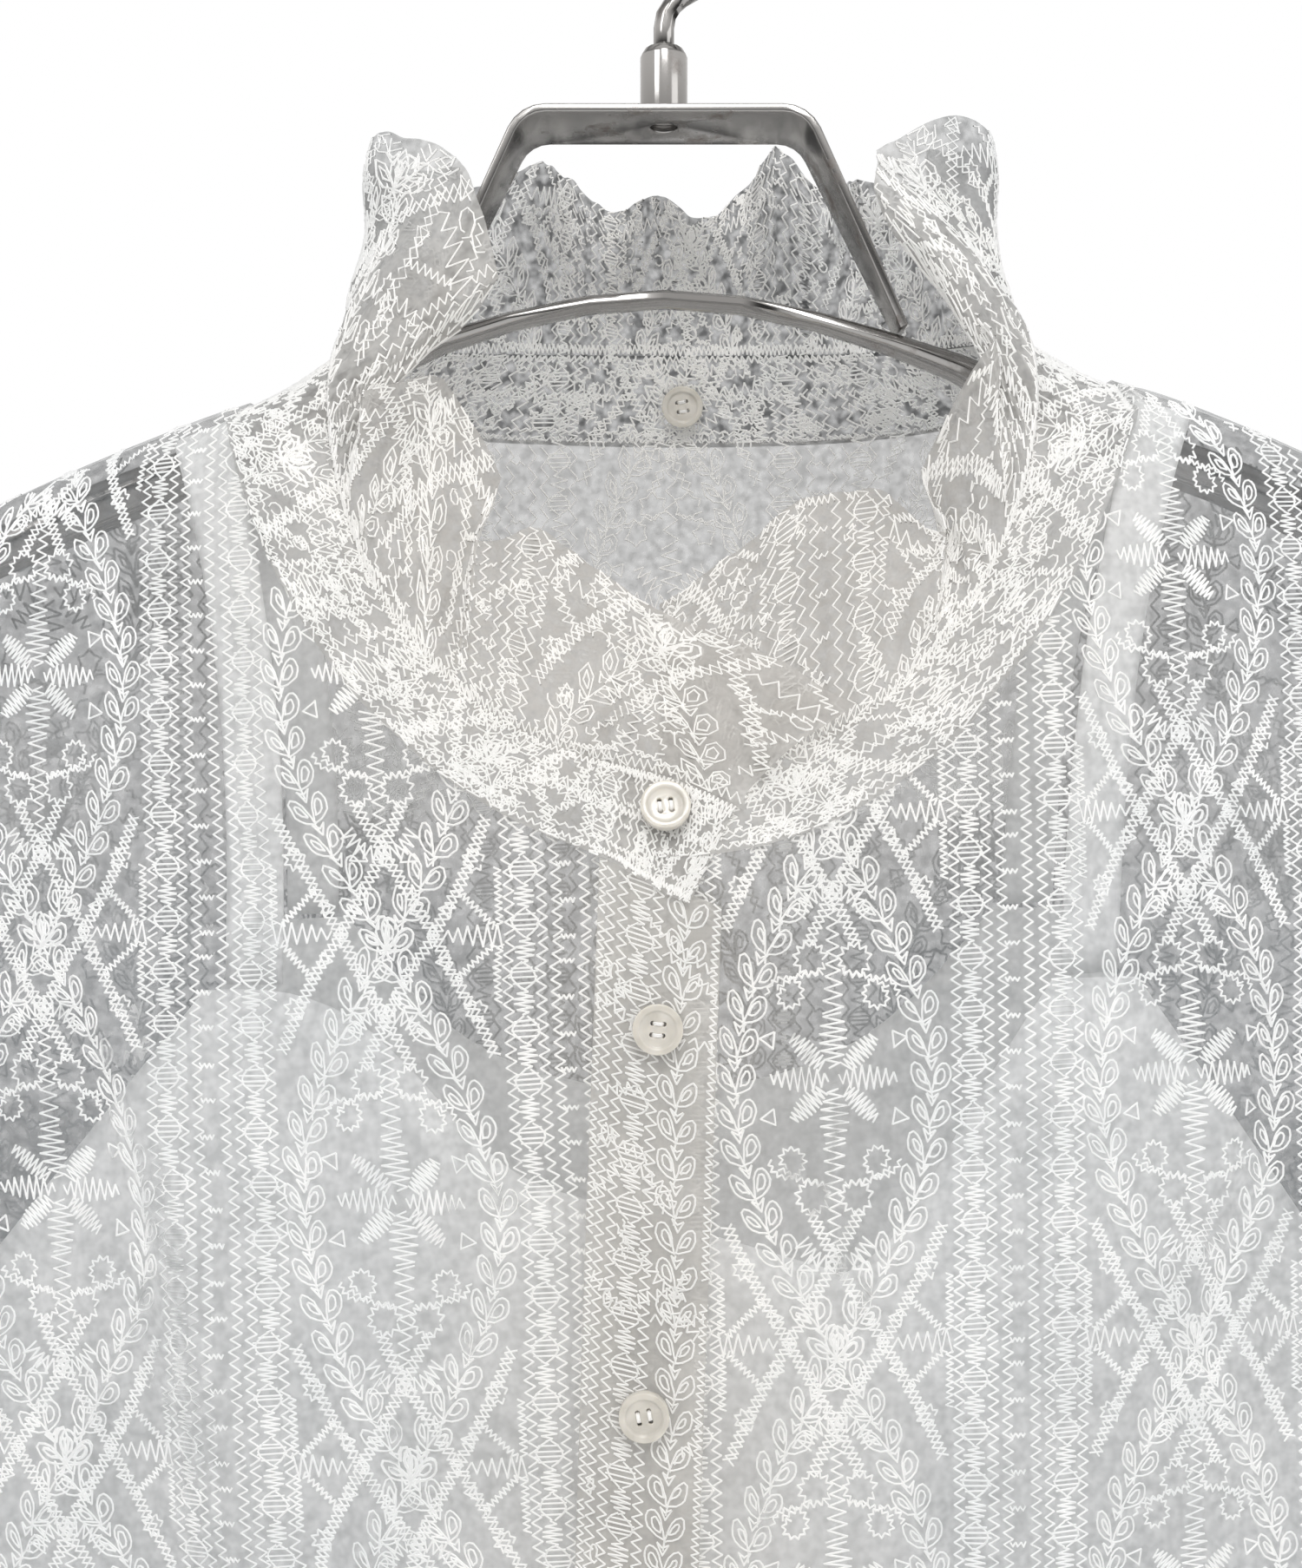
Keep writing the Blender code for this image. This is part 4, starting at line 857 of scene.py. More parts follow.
def closed(*corners):
    """A line through the corners and back to the first."""
    return np.array([*corners, corners[0]])


def placed(shape, x, y, turn=0.0, grow=1.0):
    """A small shape, turned from upright and moved."""
    shape = np.asarray(shape, float) * grow
    cos, sin = math.cos(turn), math.sin(turn)
    return shape @ np.array([[cos, sin], [-sin, cos]]) + (x, y)


LENS_PITCH, LENS_WIDTH = 11.0, 4.8


def lens_ladder(x, low, high, step):
    """Open lenses with bars, each followed by a closed one of dense stitches."""
    lines, half = [], LENS_PITCH / 2
    for start in np.arange(low, high, LENS_PITCH):
        share = np.linspace(0, 1, 7)
        bulge = 0.35 + LENS_WIDTH / 2 * np.sin(math.pi * share) ** 0.9
        lines += [np.stack([x + side * bulge, start + half * share], axis=1) for side in (-1, 1)]
        for bar in (0.2, 0.4, 0.6, 0.8):
            reach = 0.7 + LENS_WIDTH / 2 * math.sin(math.pi * bar)
            lines.append(np.array([(x - reach, start + half * bar), (x + reach, start + half * bar + 0.3)]))
        dense = [(x, start + half), (x, start + LENS_PITCH)]
        lines.append(zigzag(dense, [0.9, LENS_WIDTH * 0.85, LENS_WIDTH * 0.85, 0.9], 0.55 * step))
    return lines


# %% The straight column
COLUMN_ZIGZAGS = (-12.8, -5.9, -2.7, 3.1, 6.3, 13.4)
COLUMN_LADDERS = (-9.4, 9.9)
BAR_PITCH, BAR_FROM, BAR_TO = 7.5, -2.2, 0.9


def column_lines(low, high, step):
    """One column of the chart, about its middle line."""
    lines = []
    for x in COLUMN_ZIGZAGS:
        lines.append(zigzag([(x, low), (x, high)], [2.1], 1.3 * step))
    for x in COLUMN_LADDERS:
        lines += lens_ladder(x, low, high, step)
    for y in np.arange(low, high, BAR_PITCH):
        lines.append(zigzag([(BAR_FROM, y), (BAR_TO, y)], [0.9], 0.55 * step))
    return lines


# %% Leaves, vines and their chains
LEFT_LEAF = [(0, 0), (-2.5, 1.0), (-4.1, 3.2), (-4.0, 6.7), (-1.7, 5.2), (-0.7, 2.6), (0, 0)]
LEFT_VEIN = [(-0.9, 1.7), (-2.6, 2.7), (-3.2, 5.0), (-1.7, 3.9), (-0.9, 1.7)]
RIGHT_LEAF = [(0, 0), (2.4, 0.7), (4.1, 2.6), (4.0, 5.0), (2.7, 6.3), (1.1, 5.0), (0.5, 2.6), (0, 0)]
RIGHT_VEIN = [(0.9, 1.6), (2.4, 1.9), (3.1, 3.8), (2.3, 5.0), (1.2, 3.6), (0.9, 1.6)]
LEAF_TOP = [(-1.3, 7.3), (0, 4.7), (1.3, 7.3), (0, 6.3), (-1.3, 7.3)]
LEAF_STALK = [(0.3, -1.9), (0, 0)]
LEAF_SHAPES = (LEFT_LEAF, LEFT_VEIN, RIGHT_LEAF, RIGHT_VEIN)
LEAF_PITCH = 7.5
REPEAT_WIDTH, REPEAT_HEIGHT = 77.2, 110.0
VINE_REACH, CHAIN_OFFSET, FIELD_HALF, STAR_CLEAR = 20.4, 8.6, 24.4, 27.0


def rounded(shape):
    """A leaf's outline with its corners eased, by one cut of each corner but the ends."""
    shape = np.asarray(shape, float)
    inner = [shape[:1]]
    for first, second in zip(shape[:-1], shape[1:]):
        inner.append(np.stack([first * 0.72 + second * 0.28, first * 0.28 + second * 0.72]))
    return np.concatenate([*inner, shape[-1:]])


def leaf_pair(x, y, turn, fine, grow=1.0):
    """Two leaves with their veins, the bud over them and their stalk."""
    shapes = [rounded(shape) if fine else shape for shape in LEAF_SHAPES]
    return [placed(shape, x, y, turn, grow) for shape in (*shapes, LEAF_TOP, LEAF_STALK)]


def vine_lines(side, step, fine):
    """A vine of leaf pairs on one side of the medallion, with a double chain of stitches along it."""
    height = np.linspace(-REPEAT_HEIGHT / 2, REPEAT_HEIGHT / 2, 80)
    path = np.stack([side * VINE_REACH * np.cos(math.pi * height / REPEAT_HEIGHT), height], axis=1)
    lines = []
    spots = spaced(path, LEAF_PITCH)
    ahead = np.gradient(spots, axis=0)
    for (x, y), (to_x, to_y) in zip(spots, ahead):
        lines += leaf_pair(x, y - 3.2, -math.atan2(to_x, to_y) * 0.8, fine)
    for offset in (-CHAIN_OFFSET, CHAIN_OFFSET):
        beside = path + sideways(path) * offset
        beside = beside[np.abs(beside[:, 0]) < FIELD_HALF - 1.5]
        if offset * side > 0:
            beside = beside[np.abs(beside[:, 1]) > STAR_CLEAR]
        gaps = np.flatnonzero(np.linalg.norm(np.diff(beside, axis=0), axis=1) > 5) + 1
        for run in np.split(beside, gaps):
            if len(run) > 4:
                lines += [zigzag(run, [2.6], 1.35 * step), zigzag(run, [2.2], 1.35 * step, first=-1)]
    return lines


# %% The star, its scrolls and fans
def star_lines(step):
    """The medallion's star with eight arms, and what grows above and below it."""
    lines = []
    for turn in (45, 135, 225, 315):
        way = np.array([math.cos(math.radians(turn)), math.sin(math.radians(turn))])
        lines.append(zigzag([way * 3.4, way * 12.2], [2.6, 4.1, 4.0, 2.0], 0.52 * step))
    for side in (-1, 1):
        lines.append(zigzag([(side * 1.0, 0), (side * 13.2, 0)], [1.4, 4.8, 5.2, 4.0, 1.8], 0.8 * step))
        lines.append(np.array([(side * 0.4, 0), (side * 13.6, 0.2)]))
    for up in (-1, 1):
        lines.append(zigzag([(0, up * 2.2), (0, up * 13.4)], [1.8, 5.6, 6.0, 3.6], 0.85 * step))
        lines.append(zigzag([(0, up * 13.4), (0, up * 41)], [4.6, 2.6, 2.2], 1.25 * step))
        turn = 90 - up * 90
        lines.append(zigzag(arc(0, up * 31, 7.6, turn + 20, turn + 160), [3.4], 0.85 * step))
        for side in (-1, 1):
            start = 90 - side * 90
            curl = arc(side * 9.4, up * 17.0, (4.2, 1.5), start, start + side * up * 430, 30)
            tail = np.array([(side * 2.0, up * 22.0), (side * 7.5, up * 21.0), (side * 11.6, up * 18.6)])
            lines += [zigzag(curl, [0.9], 0.75 * step), zigzag(tail, [1.4, 0.8], 0.75 * step)]
            lines.append(zigzag(arc(side * 4.6, up * 24.6, 3.2, 0, 340, 14), [1.2], 0.85 * step))
            lines.append(closed((side * 12.6, up * 6.2), (side * 15.4, up * 8.4), (side * 12.2, up * 9.6)))
            lines.append(closed((side * 5.0, up * 36.5), (side * 7.4, up * 39.6), (side * 3.6, up * 39.8)))
    return lines


def half_star_lines(side, step):
    """Half a star that grows inwards from the column's edge, where the vines cross."""
    lines, edge = [], side * FIELD_HALF

    def spot(inwards, y):
        return (edge - side * inwards, y)

    lines.append(zigzag([(edge, 0), spot(12.5, 0)], [5.2, 4.6, 3.6, 1.6], 1.0 * step))
    lines.append(np.array([(edge, 0), spot(13.2, 0)]))
    for up in (-1, 1):
        lines.append(zigzag([spot(1.8, up * 1.8), spot(9.4, up * 9.4)], [1.4], 0.6 * step))
        lines.append(zigzag([spot(0.6, up * 2.0), spot(0.6, up * 14.0)], [1.5], 0.65 * step))
        lines.append(closed(spot(11.0, up * 3.8), spot(13.4, up * 5.6), spot(10.6, up * 6.8)))
        lines.append(zigzag(arc(*spot(5.4, up * 15.6), 2.1, 0, 320, 9), [0.9], 0.8 * step))
    return lines


def medallion_lines(step, fine):
    lines = star_lines(step)
    for side in (-1, 1):
        lines += vine_lines(side, step, fine)
        lines += [line + (0, REPEAT_HEIGHT / 2) for line in half_star_lines(side, step)]
    return lines


for part, lines in (("medallion", medallion_lines(1.0, True)), ("column", column_lines(-55, 55, 1.0))):
    print(part, "has", len(lines), "lines and", sum(map(len, lines)), "points a repeat")

# %% [markdown]
# ## From flat cloth to worn cloth
#
# To lay the chart on the garment, every place of the flat cloth needs its place on the worn one. For the body
# and the sleeves, rays go outwards from the middle at many heights, and the way round is measured from hit to
# hit, so a motif keeps its width where the cloth turns away. The last step is a search for the nearest point
# of the sheet itself, which brings in every crease and leaves out what falls past an edge.

# %% Where flat cloth lies on the body and the sleeves
SPACING = 0.005
COLUMNS_A_SIDE = 60
RAYS_A_SIDE = 140
RAY_REACH = 0.2
FAN_WIDTH, FAN_DEPTH, FAN_START = 0.26, 0.05, 0.75
SLEEVE_LEVELS, LEVEL_INSET, LEVEL_REACH = 60, 0.004, 0.008
SNAP_REACH, SNAP_SLIDE = 0.004, 0.0006
MM = 0.001


def joined_tree(pieces):
    """One search tree over several sheets."""
    points, faces = [], []
    for piece in pieces:
        start = len(points)
        points += [vert.co.copy() for vert in piece.data.vertices]
        faces += [[start + index for index in face.vertices] for face in piece.data.polygons]
    return BVHTree.FromPolygons(points, faces)


def body_ray(side):
    """A fan of level rays on the front or the back, from the middle out to one side."""
    def ray(mirror, share, z):
        turn = share * math.pi / 2
        aim = Vector((mirror * FAN_WIDTH * math.sin(turn), side * FAN_DEPTH * math.cos(turn), z))
        start = Vector((aim.x * FAN_START, 0.0, z))
        return start, (aim - start).normalized()
    return ray


def sleeve_ray(piece, side):
    """A fan of level rays from the middle of a sleeve, from its outer side round to its inner side."""
    points = read_points(piece)
    low, high = points[:, 2].min() + LEVEL_INSET, points[:, 2].max() - LEVEL_INSET
    levels = np.linspace(low, high, SLEEVE_LEVELS)
    near = [points[np.abs(points[:, 2] - level) < LEVEL_REACH, 0] for level in levels]
    middles = [(level_x.min() + level_x.max()) / 2 for level_x in near]

    def ray(mirror, share, z):
        turn, middle = share * math.pi, float(np.interp(z, levels, middles))
        return Vector((middle, 0.0, z)), Vector((side * math.cos(turn), -mirror * math.sin(turn), 0))
    return ray


def worn_grid(tree, ray, heights, from_middle_line):
    """Rows of places on the worn cloth, evenly spaced round it, by height. nan marks a bare place."""
    grid = np.full((len(heights), 2 * COLUMNS_A_SIDE + 1, 3), np.nan)
    steps = np.arange(COLUMNS_A_SIDE + 1)
    for row, z in enumerate(heights):
        for mirror in (-1, 1):
            shares = np.linspace(0, 1, RAYS_A_SIDE)
            hits = [tree.ray_cast(*ray(mirror, share, z), RAY_REACH)[0] for share in shares]
            points = np.array([hit[:] for hit in hits if hit is not None])
            if len(points) < 2:
                continue
            first = abs(points[0, 0]) if from_middle_line else 0.0
            way = first + np.concatenate([[0.0], np.cumsum(np.linalg.norm(np.diff(points, axis=0), axis=1))])
            inside = steps[(steps * SPACING >= way[0] - SPACING) & (steps * SPACING <= way[-1])]
            for axis in range(3):
                spots = np.interp(inside * SPACING, way, points[:, axis])
                grid[row, COLUMNS_A_SIDE + mirror * inside, axis] = spots
    return grid


def between(grid, row, column):
    """Places between the points of a grid, and nan outside it."""
    rows, columns = grid.shape[:2]
    low_row = np.clip(np.floor(row), 0, rows - 2).astype(int)
    low_column = np.clip(np.floor(column), 0, columns - 2).astype(int)
    up, over = (row - low_row)[:, None], (column - low_column)[:, None]
    result = (
        grid[low_row, low_column] * (1 - up) * (1 - over)
        + grid[low_row, low_column + 1] * (1 - up) * over
        + grid[low_row + 1, low_column] * up * (1 - over)
        + grid[low_row + 1, low_column + 1] * up * over
    )
    result[(row < 0) | (row > rows - 1) | (column < 0) | (column > columns - 1)] = np.nan
    return result


def snapper(piece, grid, heights):
    """A function that lays flat places (metres round, height) on a sheet.

    It gives each one's place and normal, and whether the sheet reaches there.
    """
    tree = joined_tree([piece])

    def lay(flat):
        row = (flat[:, 1] - heights[0]) / (heights[1] - heights[0])
        guess = between(grid, row, flat[:, 0] / SPACING + COLUMNS_A_SIDE)
        place, normal = np.zeros_like(guess), np.zeros_like(guess)
        on_cloth = np.isfinite(guess[:, 0])
        for index in np.flatnonzero(on_cloth):
            near, face_normal, _, _ = tree.find_nearest(guess[index], SNAP_REACH)
            if near is None:
                on_cloth[index] = False
                continue
            place[index], normal[index] = near, face_normal
        apart = guess - place
        apart = apart - normal * (apart * normal).sum(axis=1, keepdims=True)
        with np.errstate(invalid="ignore"):
            on_cloth &= np.linalg.norm(apart, axis=1) < SNAP_SLIDE
        return place, normal, on_cloth
    return lay


BODY_HEIGHTS = np.arange(-0.745, -0.128, SPACING)
SLEEVE_HEIGHTS = np.arange(-0.710, -0.165, SPACING)
CUFF_HEIGHTS = np.arange(-0.750, -0.695, SPACING / 2)
OUTER_NODES = (
    "collar_band", "front_placket", "front_right", "front_left", "back", "sleeve_right", "sleeve_left",
)
TUBES = {
    # node: side, heights
    "sleeve_right": (-1, SLEEVE_HEIGHTS), "sleeve_left": (1, SLEEVE_HEIGHTS),
    "cuff_right": (-1, CUFF_HEIGHTS), "cuff_left": (1, CUFF_HEIGHTS),
}
body_tree = joined_tree([cloth[node] for node in OUTER_NODES])
front_grid = worn_grid(body_tree, body_ray(-1), BODY_HEIGHTS, True)
back_grid = worn_grid(body_tree, body_ray(1), BODY_HEIGHTS, True)
lay_on = {
    "front_right": snapper(cloth["front_right"], front_grid, BODY_HEIGHTS),
    "front_left": snapper(cloth["front_left"], front_grid, BODY_HEIGHTS),
    "back": snapper(cloth["back"], back_grid, BODY_HEIGHTS),
}
for node, (side, heights) in TUBES.items():
    tube_grid = worn_grid(joined_tree([cloth[node]]), sleeve_ray(cloth[node], side), heights, False)
    lay_on[node] = snapper(cloth[node], tube_grid, heights)
print("front laid at", int(np.isfinite(front_grid[..., 0]).sum()), "places")


# %% Where flat cloth lies on strips
def strip_layer(grid, length, height, round_neck):
    """The same for a woven strip: metres along it and a height from 0 to height across it."""
    normals = grid_normals(grid)
    if round_neck:
        outward = grid - np.array([NECK_MIDDLE_X, 0.0, 0.0])
        outward[..., 2] = 0.0
    else:
        outward = np.broadcast_to(np.array([0.0, -1.0, 0.0]), grid.shape)
    if (normals * outward).sum() < 0:
        normals = -normals

    def lay(flat):
        row = flat[:, 1] / height * (grid.shape[0] - 1)
        column = flat[:, 0] / length * (grid.shape[1] - 1)
        place, normal = between(grid, row, column), between(normals, row, column)
        on_cloth = np.isfinite(place[:, 0])
        place[~on_cloth], normal[~on_cloth] = 0.0, 0.0
        normal = normal / np.maximum(np.linalg.norm(normal, axis=1, keepdims=True), 1e-9)
        return place, normal, on_cloth
    return lay


def mean_length(grid):
    return np.linalg.norm(np.diff(grid, axis=1), axis=2).sum(axis=1).mean()


RUFFLE_HEIGHT, BAND_HEIGHT, STRIP_WIDTH = 0.044, 0.024, 0.0248
ruffle_length, band_length = mean_length(ruffle_grid), mean_length(band_grid)
placket_length = mean_length(placket_grid)
lay_on["collar_ruffle"] = strip_layer(ruffle_grid, ruffle_length, RUFFLE_HEIGHT, True)
lay_on["collar_band"] = strip_layer(band_grid, band_length, BAND_HEIGHT, True)
lay_on["front_placket"] = strip_layer(placket_grid, placket_length, STRIP_WIDTH, False)
print("strips, m:", round(ruffle_length, 3), round(band_length, 3), round(placket_length, 3))

# %% [markdown]
# ## Stitches as raised thread
#
# A stitched thread lies on the cloth as a low ridge. Near the camera each stitch is a ridge with two sloping
# faces. Further away a flat ribbon is enough. A fine random shift keeps the stitches from looking printed.

# %% Lay lines of stitches on cloth
THREAD_WIDTH, THREAD_RISE, THREAD_SINK = 0.00046, 0.00032, 0.00006
FAR_WIDTH, FAR_LIFT = 0.00056, 0.00016
LINE_SHIFT, POINT_SHIFT, LONGEST_STITCH, STITCH_OVERLAP = 0.10, 0.06, 0.0075, 0.00008


def embroider(node, lines, place_of, raised_where, seed, both_faces=False, shades=True):
    """One mesh of stitches on a node's cloth. place_of turns chart millimetres into metres on flat cloth."""
    draw = np.random.default_rng(seed)
    counts = [len(line) for line in lines]
    chart = np.concatenate(lines)
    chart = chart + np.repeat(draw.normal(0, LINE_SHIFT, (len(lines), 2)), counts, axis=0)
    chart = chart + draw.normal(0, POINT_SHIFT, chart.shape)
    place, normal, on_cloth = lay_on[node](place_of(chart))
    line_of = np.repeat(np.arange(len(lines)), counts)
    length = np.linalg.norm(np.diff(place, axis=0), axis=1)
    stitched = on_cloth[:-1] & on_cloth[1:] & (line_of[:-1] == line_of[1:])
    first = np.flatnonzero(stitched & (length > 1e-6) & (length < LONGEST_STITCH))
    ahead = (place[first + 1] - place[first]) / length[first, None]
    start, end = place[first] - ahead * STITCH_OVERLAP, place[first + 1] + ahead * STITCH_OVERLAP
    up = normal[first]
    side = np.cross(up, ahead)
    side /= np.maximum(np.linalg.norm(side, axis=1, keepdims=True), 1e-9)
    rise = up * THREAD_RISE * draw.uniform(0.75, 1.25, (len(first), 1))
    near = raised_where(place[first])
    half, sink = side * THREAD_WIDTH / 2, up * THREAD_SINK
    ridge = [start - half - sink, start + rise, start + half - sink]
    ridge += [end - half - sink, end + rise, end + half - sink]
    quads = [(0, 1, 4, 3), (1, 2, 5, 4)]
    if both_faces:
        ridge += [start - rise, end - rise]
        quads += [(2, 6, 7, 5), (6, 0, 3, 7)]
    half, lift = side * FAR_WIDTH / 2, up * FAR_LIFT
    ribbon = [start - half + lift, start + half + lift, end + half + lift, end - half + lift]
    points, faces = [], []
    for chosen, corners, shape in ((near, ridge, quads), (~near, ribbon, [(0, 1, 2, 3)])):
        corners = np.stack([corner[chosen] for corner in corners], axis=1)
        shift = sum(map(len, points)) + np.arange(len(corners))[:, None, None] * corners.shape[1]
        faces.append((shift + np.array(shape)[None]).reshape(-1, 4))
        points.append(corners.reshape(-1, 3))
    faces = np.concatenate(faces)
    mesh = bpy.data.meshes.new(node + "_embroidery")
    mesh.from_pydata(np.concatenate(points).tolist(), [], faces.tolist())
    mesh.shade_smooth()
    mesh.materials.append(thread)
    piece = new_piece(mesh.name, mesh)
    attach(piece, BODY)
    piece.visible_shadow = shades
    print(f"{piece.name}: {2 * len(faces)} triangles")


CHART_MARGIN_X, CHART_MARGIN_Y = 45, 60


def chart_cells(x_low, x_high, y_low, y_high, step, fine):
    """The chart, repeated over a part of the flat cloth, about the star at its middle."""
    lines = []
    star, column = medallion_lines(step, fine), column_lines(-REPEAT_HEIGHT / 2, REPEAT_HEIGHT / 2, step)
    for across in range(math.floor(x_low / REPEAT_WIDTH), math.ceil(x_high / REPEAT_WIDTH) + 1):
        for up in range(math.floor(y_low / REPEAT_HEIGHT - 0.5), math.ceil(y_high / REPEAT_HEIGHT + 0.5) + 1):
            shift = (across * REPEAT_WIDTH, up * REPEAT_HEIGHT)
            lines += [line + shift for line in star]
            lines += [line + (shift[0] + REPEAT_WIDTH / 2, shift[1]) for line in column]
    inside = []
    for line in lines:
        x, y = line.mean(axis=0)
        near_x = x_low - CHART_MARGIN_X < x < x_high + CHART_MARGIN_X
        if near_x and y_low - CHART_MARGIN_Y < y < y_high + CHART_MARGIN_Y:
            inside.append(line)
    return inside


def chart_place(star_x, star_z, lean=0.0):
    """Puts the chart's star at a place of the flat cloth, with its columns leaning a little."""
    def place_of(chart):
        across, up = star_x + chart[:, 0] * MM - lean * chart[:, 1] * MM, star_z + chart[:, 1] * MM
        return np.stack([across, up], axis=1)
    return place_of


VIEW_X, VIEW_HALF_WIDTH, VIEW_LOWEST = -0.003, 0.150, -0.400
NECK_X, NECK_HALF_WIDTH, NECK_LOWEST = 0.003, 0.095, -0.235


def in_view(place):
    """Where the photograph looks closely: there the stitches are raised."""
    wide = np.abs(place[:, 0] - VIEW_X) < VIEW_HALF_WIDTH
    return wide & (place[:, 2] > VIEW_LOWEST) & (place[:, 1] < 0.0)


def inside_the_neck(place):
    """The part of the back that is seen from within, over the front edge of the neck."""
    return (np.abs(place[:, 0] - NECK_X) < NECK_HALF_WIDTH) & (place[:, 2] > NECK_LOWEST)


# %% Embroider the fronts and the back
embroider(
    "front_right", chart_cells(-215, 60, -440, 180, 1.0, True), chart_place(-0.0561, -0.3134, 0.055),
    in_view, 101, shades=False,
)
embroider(
    "front_left", chart_cells(-50, 215, -460, 160, 1.0, True), chart_place(0.0348, -0.2877, 0.010),
    in_view, 102, shades=False,
)
embroider(
    "back", chart_cells(-245, 245, -460, 160, 2.0, False), chart_place(0.002, -0.2900),
    inside_the_neck, 103, both_faces=True, shades=False,
)

# %% Embroider the sleeves and the cuffs
sleeve_chart = chart_cells(-190, 190, -410, 130, 2.0, False)
cuff_chart = chart_cells(-130, 130, -45, 15, 1.4, False)
for node, seed in (("sleeve_right", 111), ("sleeve_left", 112)):
    embroider(node, sleeve_chart, chart_place(0.004, -0.3000), in_view, seed)
for node, seed in (("cuff_right", 113), ("cuff_left", 114)):
    embroider(node, cuff_chart, chart_place(0.012, -0.7000), in_view, seed)

# %% [markdown]
# ## Embroidery on the collar
#
# The ruffle and the band are cut from the same lace, across its columns, and gathered. What shows there is
# denser and less orderly: bits of vine and column, small loops and short runs of zigzag. Their edges are
# bound by close stitches. The collar is seen from both sides, so its threads stand out on both.


# %% Bits of lace for strips
def loose_loops(length, height, spacing, seed):
    """Small loops and curls of stitches, scattered about one every spacing millimetres."""
    draw, lines = np.random.default_rng(seed), []
    for _ in range(round(length * height / spacing**2)):
        x, y = draw.uniform(0, length), draw.uniform(0, height)
        start, radius = draw.uniform(0, 360), draw.uniform(1.1, 2.3)
        curl = arc(x, y, (radius, radius * draw.uniform(0.5, 0.95)), start, start + draw.uniform(230, 400), 9)
        lines.append(zigzag(curl, [0.9], 0.85) if draw.random() < 0.5 else curl)
    return lines


def loose_runs(length, height, spacing, seed):
    """Short bent runs of zigzag, scattered about one every spacing millimetres."""
    draw, lines = np.random.default_rng(seed), []
    for _ in range(round(length * height / spacing**2)):
        x, y, turn = draw.uniform(0, length), draw.uniform(0, height), draw.uniform(0, math.pi)
        reach, bend = draw.uniform(4, 8), draw.uniform(-2.5, 2.5)
        half, shoulder = reach / 2, bend * 0.75
        path = [(-reach, 0), (-half, shoulder), (0, bend), (half, shoulder), (reach, 0)]
        lines.append(zigzag(placed(path, x, y, turn), [1.6, 2.6, 2.4, 1.4], 1.05))
    return lines


def edge_stitches(length, *edges):
    """A close binding zigzag, a little uneven, along edges of a height, a width, a step and a seed each."""
    lines = []
    for y, width, step, seed in edges:
        draw = np.random.default_rng(seed)
        path = np.stack([np.linspace(0, length, 200), y + draw.normal(0, 0.10, 200)], axis=1)
        lines += [zigzag(path[start:start + 21], [width], step) for start in range(0, 199, 20)]
    return lines


def strip_place(chart):
    """A strip's chart lies on it as it is: along, then across."""
    return chart * MM


def everywhere(place):
    return np.ones(len(place), dtype=bool)


def clipped_chart(length, height, shift, step):
    """The common chart on a strip, with the star line set off by shift millimetres."""
    lines = [line - (0, shift) for line in chart_cells(0, length, shift, shift + height, step, False)]
    return [line for line in lines if line[:, 1].max() > 0 and line[:, 1].min() < height]


# %% Embroider the ruffle, the band and the placket
ruffle_mm, band_mm, placket_mm = (1000 * length for length in (ruffle_length, band_length, placket_length))
ruffle_top, band_top, strip_top = 1000 * RUFFLE_HEIGHT, 1000 * BAND_HEIGHT, 1000 * STRIP_WIDTH
ruffle_lines = clipped_chart(ruffle_mm, ruffle_top, 18, 1.3)
ruffle_lines += loose_loops(ruffle_mm, ruffle_top, 9.5, 201) + loose_runs(ruffle_mm, ruffle_top, 17, 202)
ruffle_lines += edge_stitches(ruffle_mm, (ruffle_top - 0.6, 1.7, 0.75, 203), (1.6, 1.8, 0.9, 204))
band_lines = clipped_chart(band_mm, band_top, 40, 1.3)
band_lines += loose_loops(band_mm, band_top, 5.2, 211) + loose_runs(band_mm, band_top, 9.5, 212)
band_lines += edge_stitches(
    band_mm, (2.0, 1.5, 0.8, 213), (4.4, 0.8, 1.1, 214), (13.5, 1.7, 1.2, 216),
    (band_top - 0.9, 1.6, 0.8, 215),
)
PLACKET_ZIGZAGS = ((2.7, 1.8), (5.0, 1.9), (12.2, 2.1))
PLACKET_VINE, PLACKET_LADDER = 17.9, 8.6


def placket_lines():
    """The front strip: runs of zigzag, a ladder, a vine of leaves, and bound edges."""
    lines = edge_stitches(placket_mm, (0.8, 1.3, 0.9, 221), (strip_top - 0.9, 1.4, 0.85, 222))
    for across, width in PLACKET_ZIGZAGS:
        lines.append(zigzag([(0, across), (placket_mm, across)], [width], 1.3))
    for along in np.arange(2, placket_mm, LEAF_PITCH):
        middle = PLACKET_VINE + 0.8 * math.sin(along / 19)
        for shape in leaf_pair(0, 0, 0, True, 0.95):
            lines.append(np.stack([along + shape[:, 1], middle - shape[:, 0]], axis=1))
    lines += [line[:, ::-1] for line in lens_ladder(PLACKET_LADDER, 0, placket_mm, 1.0)]
    lines += [line * (1, 0.4) + (0, 2) for line in loose_loops(placket_mm, 16, 14.0, 223)]
    return lines + loose_runs(placket_mm, strip_top, 16, 224)


embroider("collar_ruffle", ruffle_lines, strip_place, everywhere, 121, both_faces=True)
embroider("collar_band", band_lines, strip_place, everywhere, 122, both_faces=True)
embroider("front_placket", placket_lines(), strip_place, everywhere, 123)

# %% [markdown]
# ## Cut sizes of the cloth
#
# The cut size of each sheet is listed, and its worn area is printed beside the area it was cut to. The sizes
# are those of the pattern pieces: a front is cut to its widest and longest reach, and its flat area leaves
# out the neck and armhole. The ruffle is cut much longer than the seam that it is gathered into.

# %% Flat sizes
def cloth_area(piece, sheets=1):
    return sum(face.area for face in piece.data.polygons) / sheets


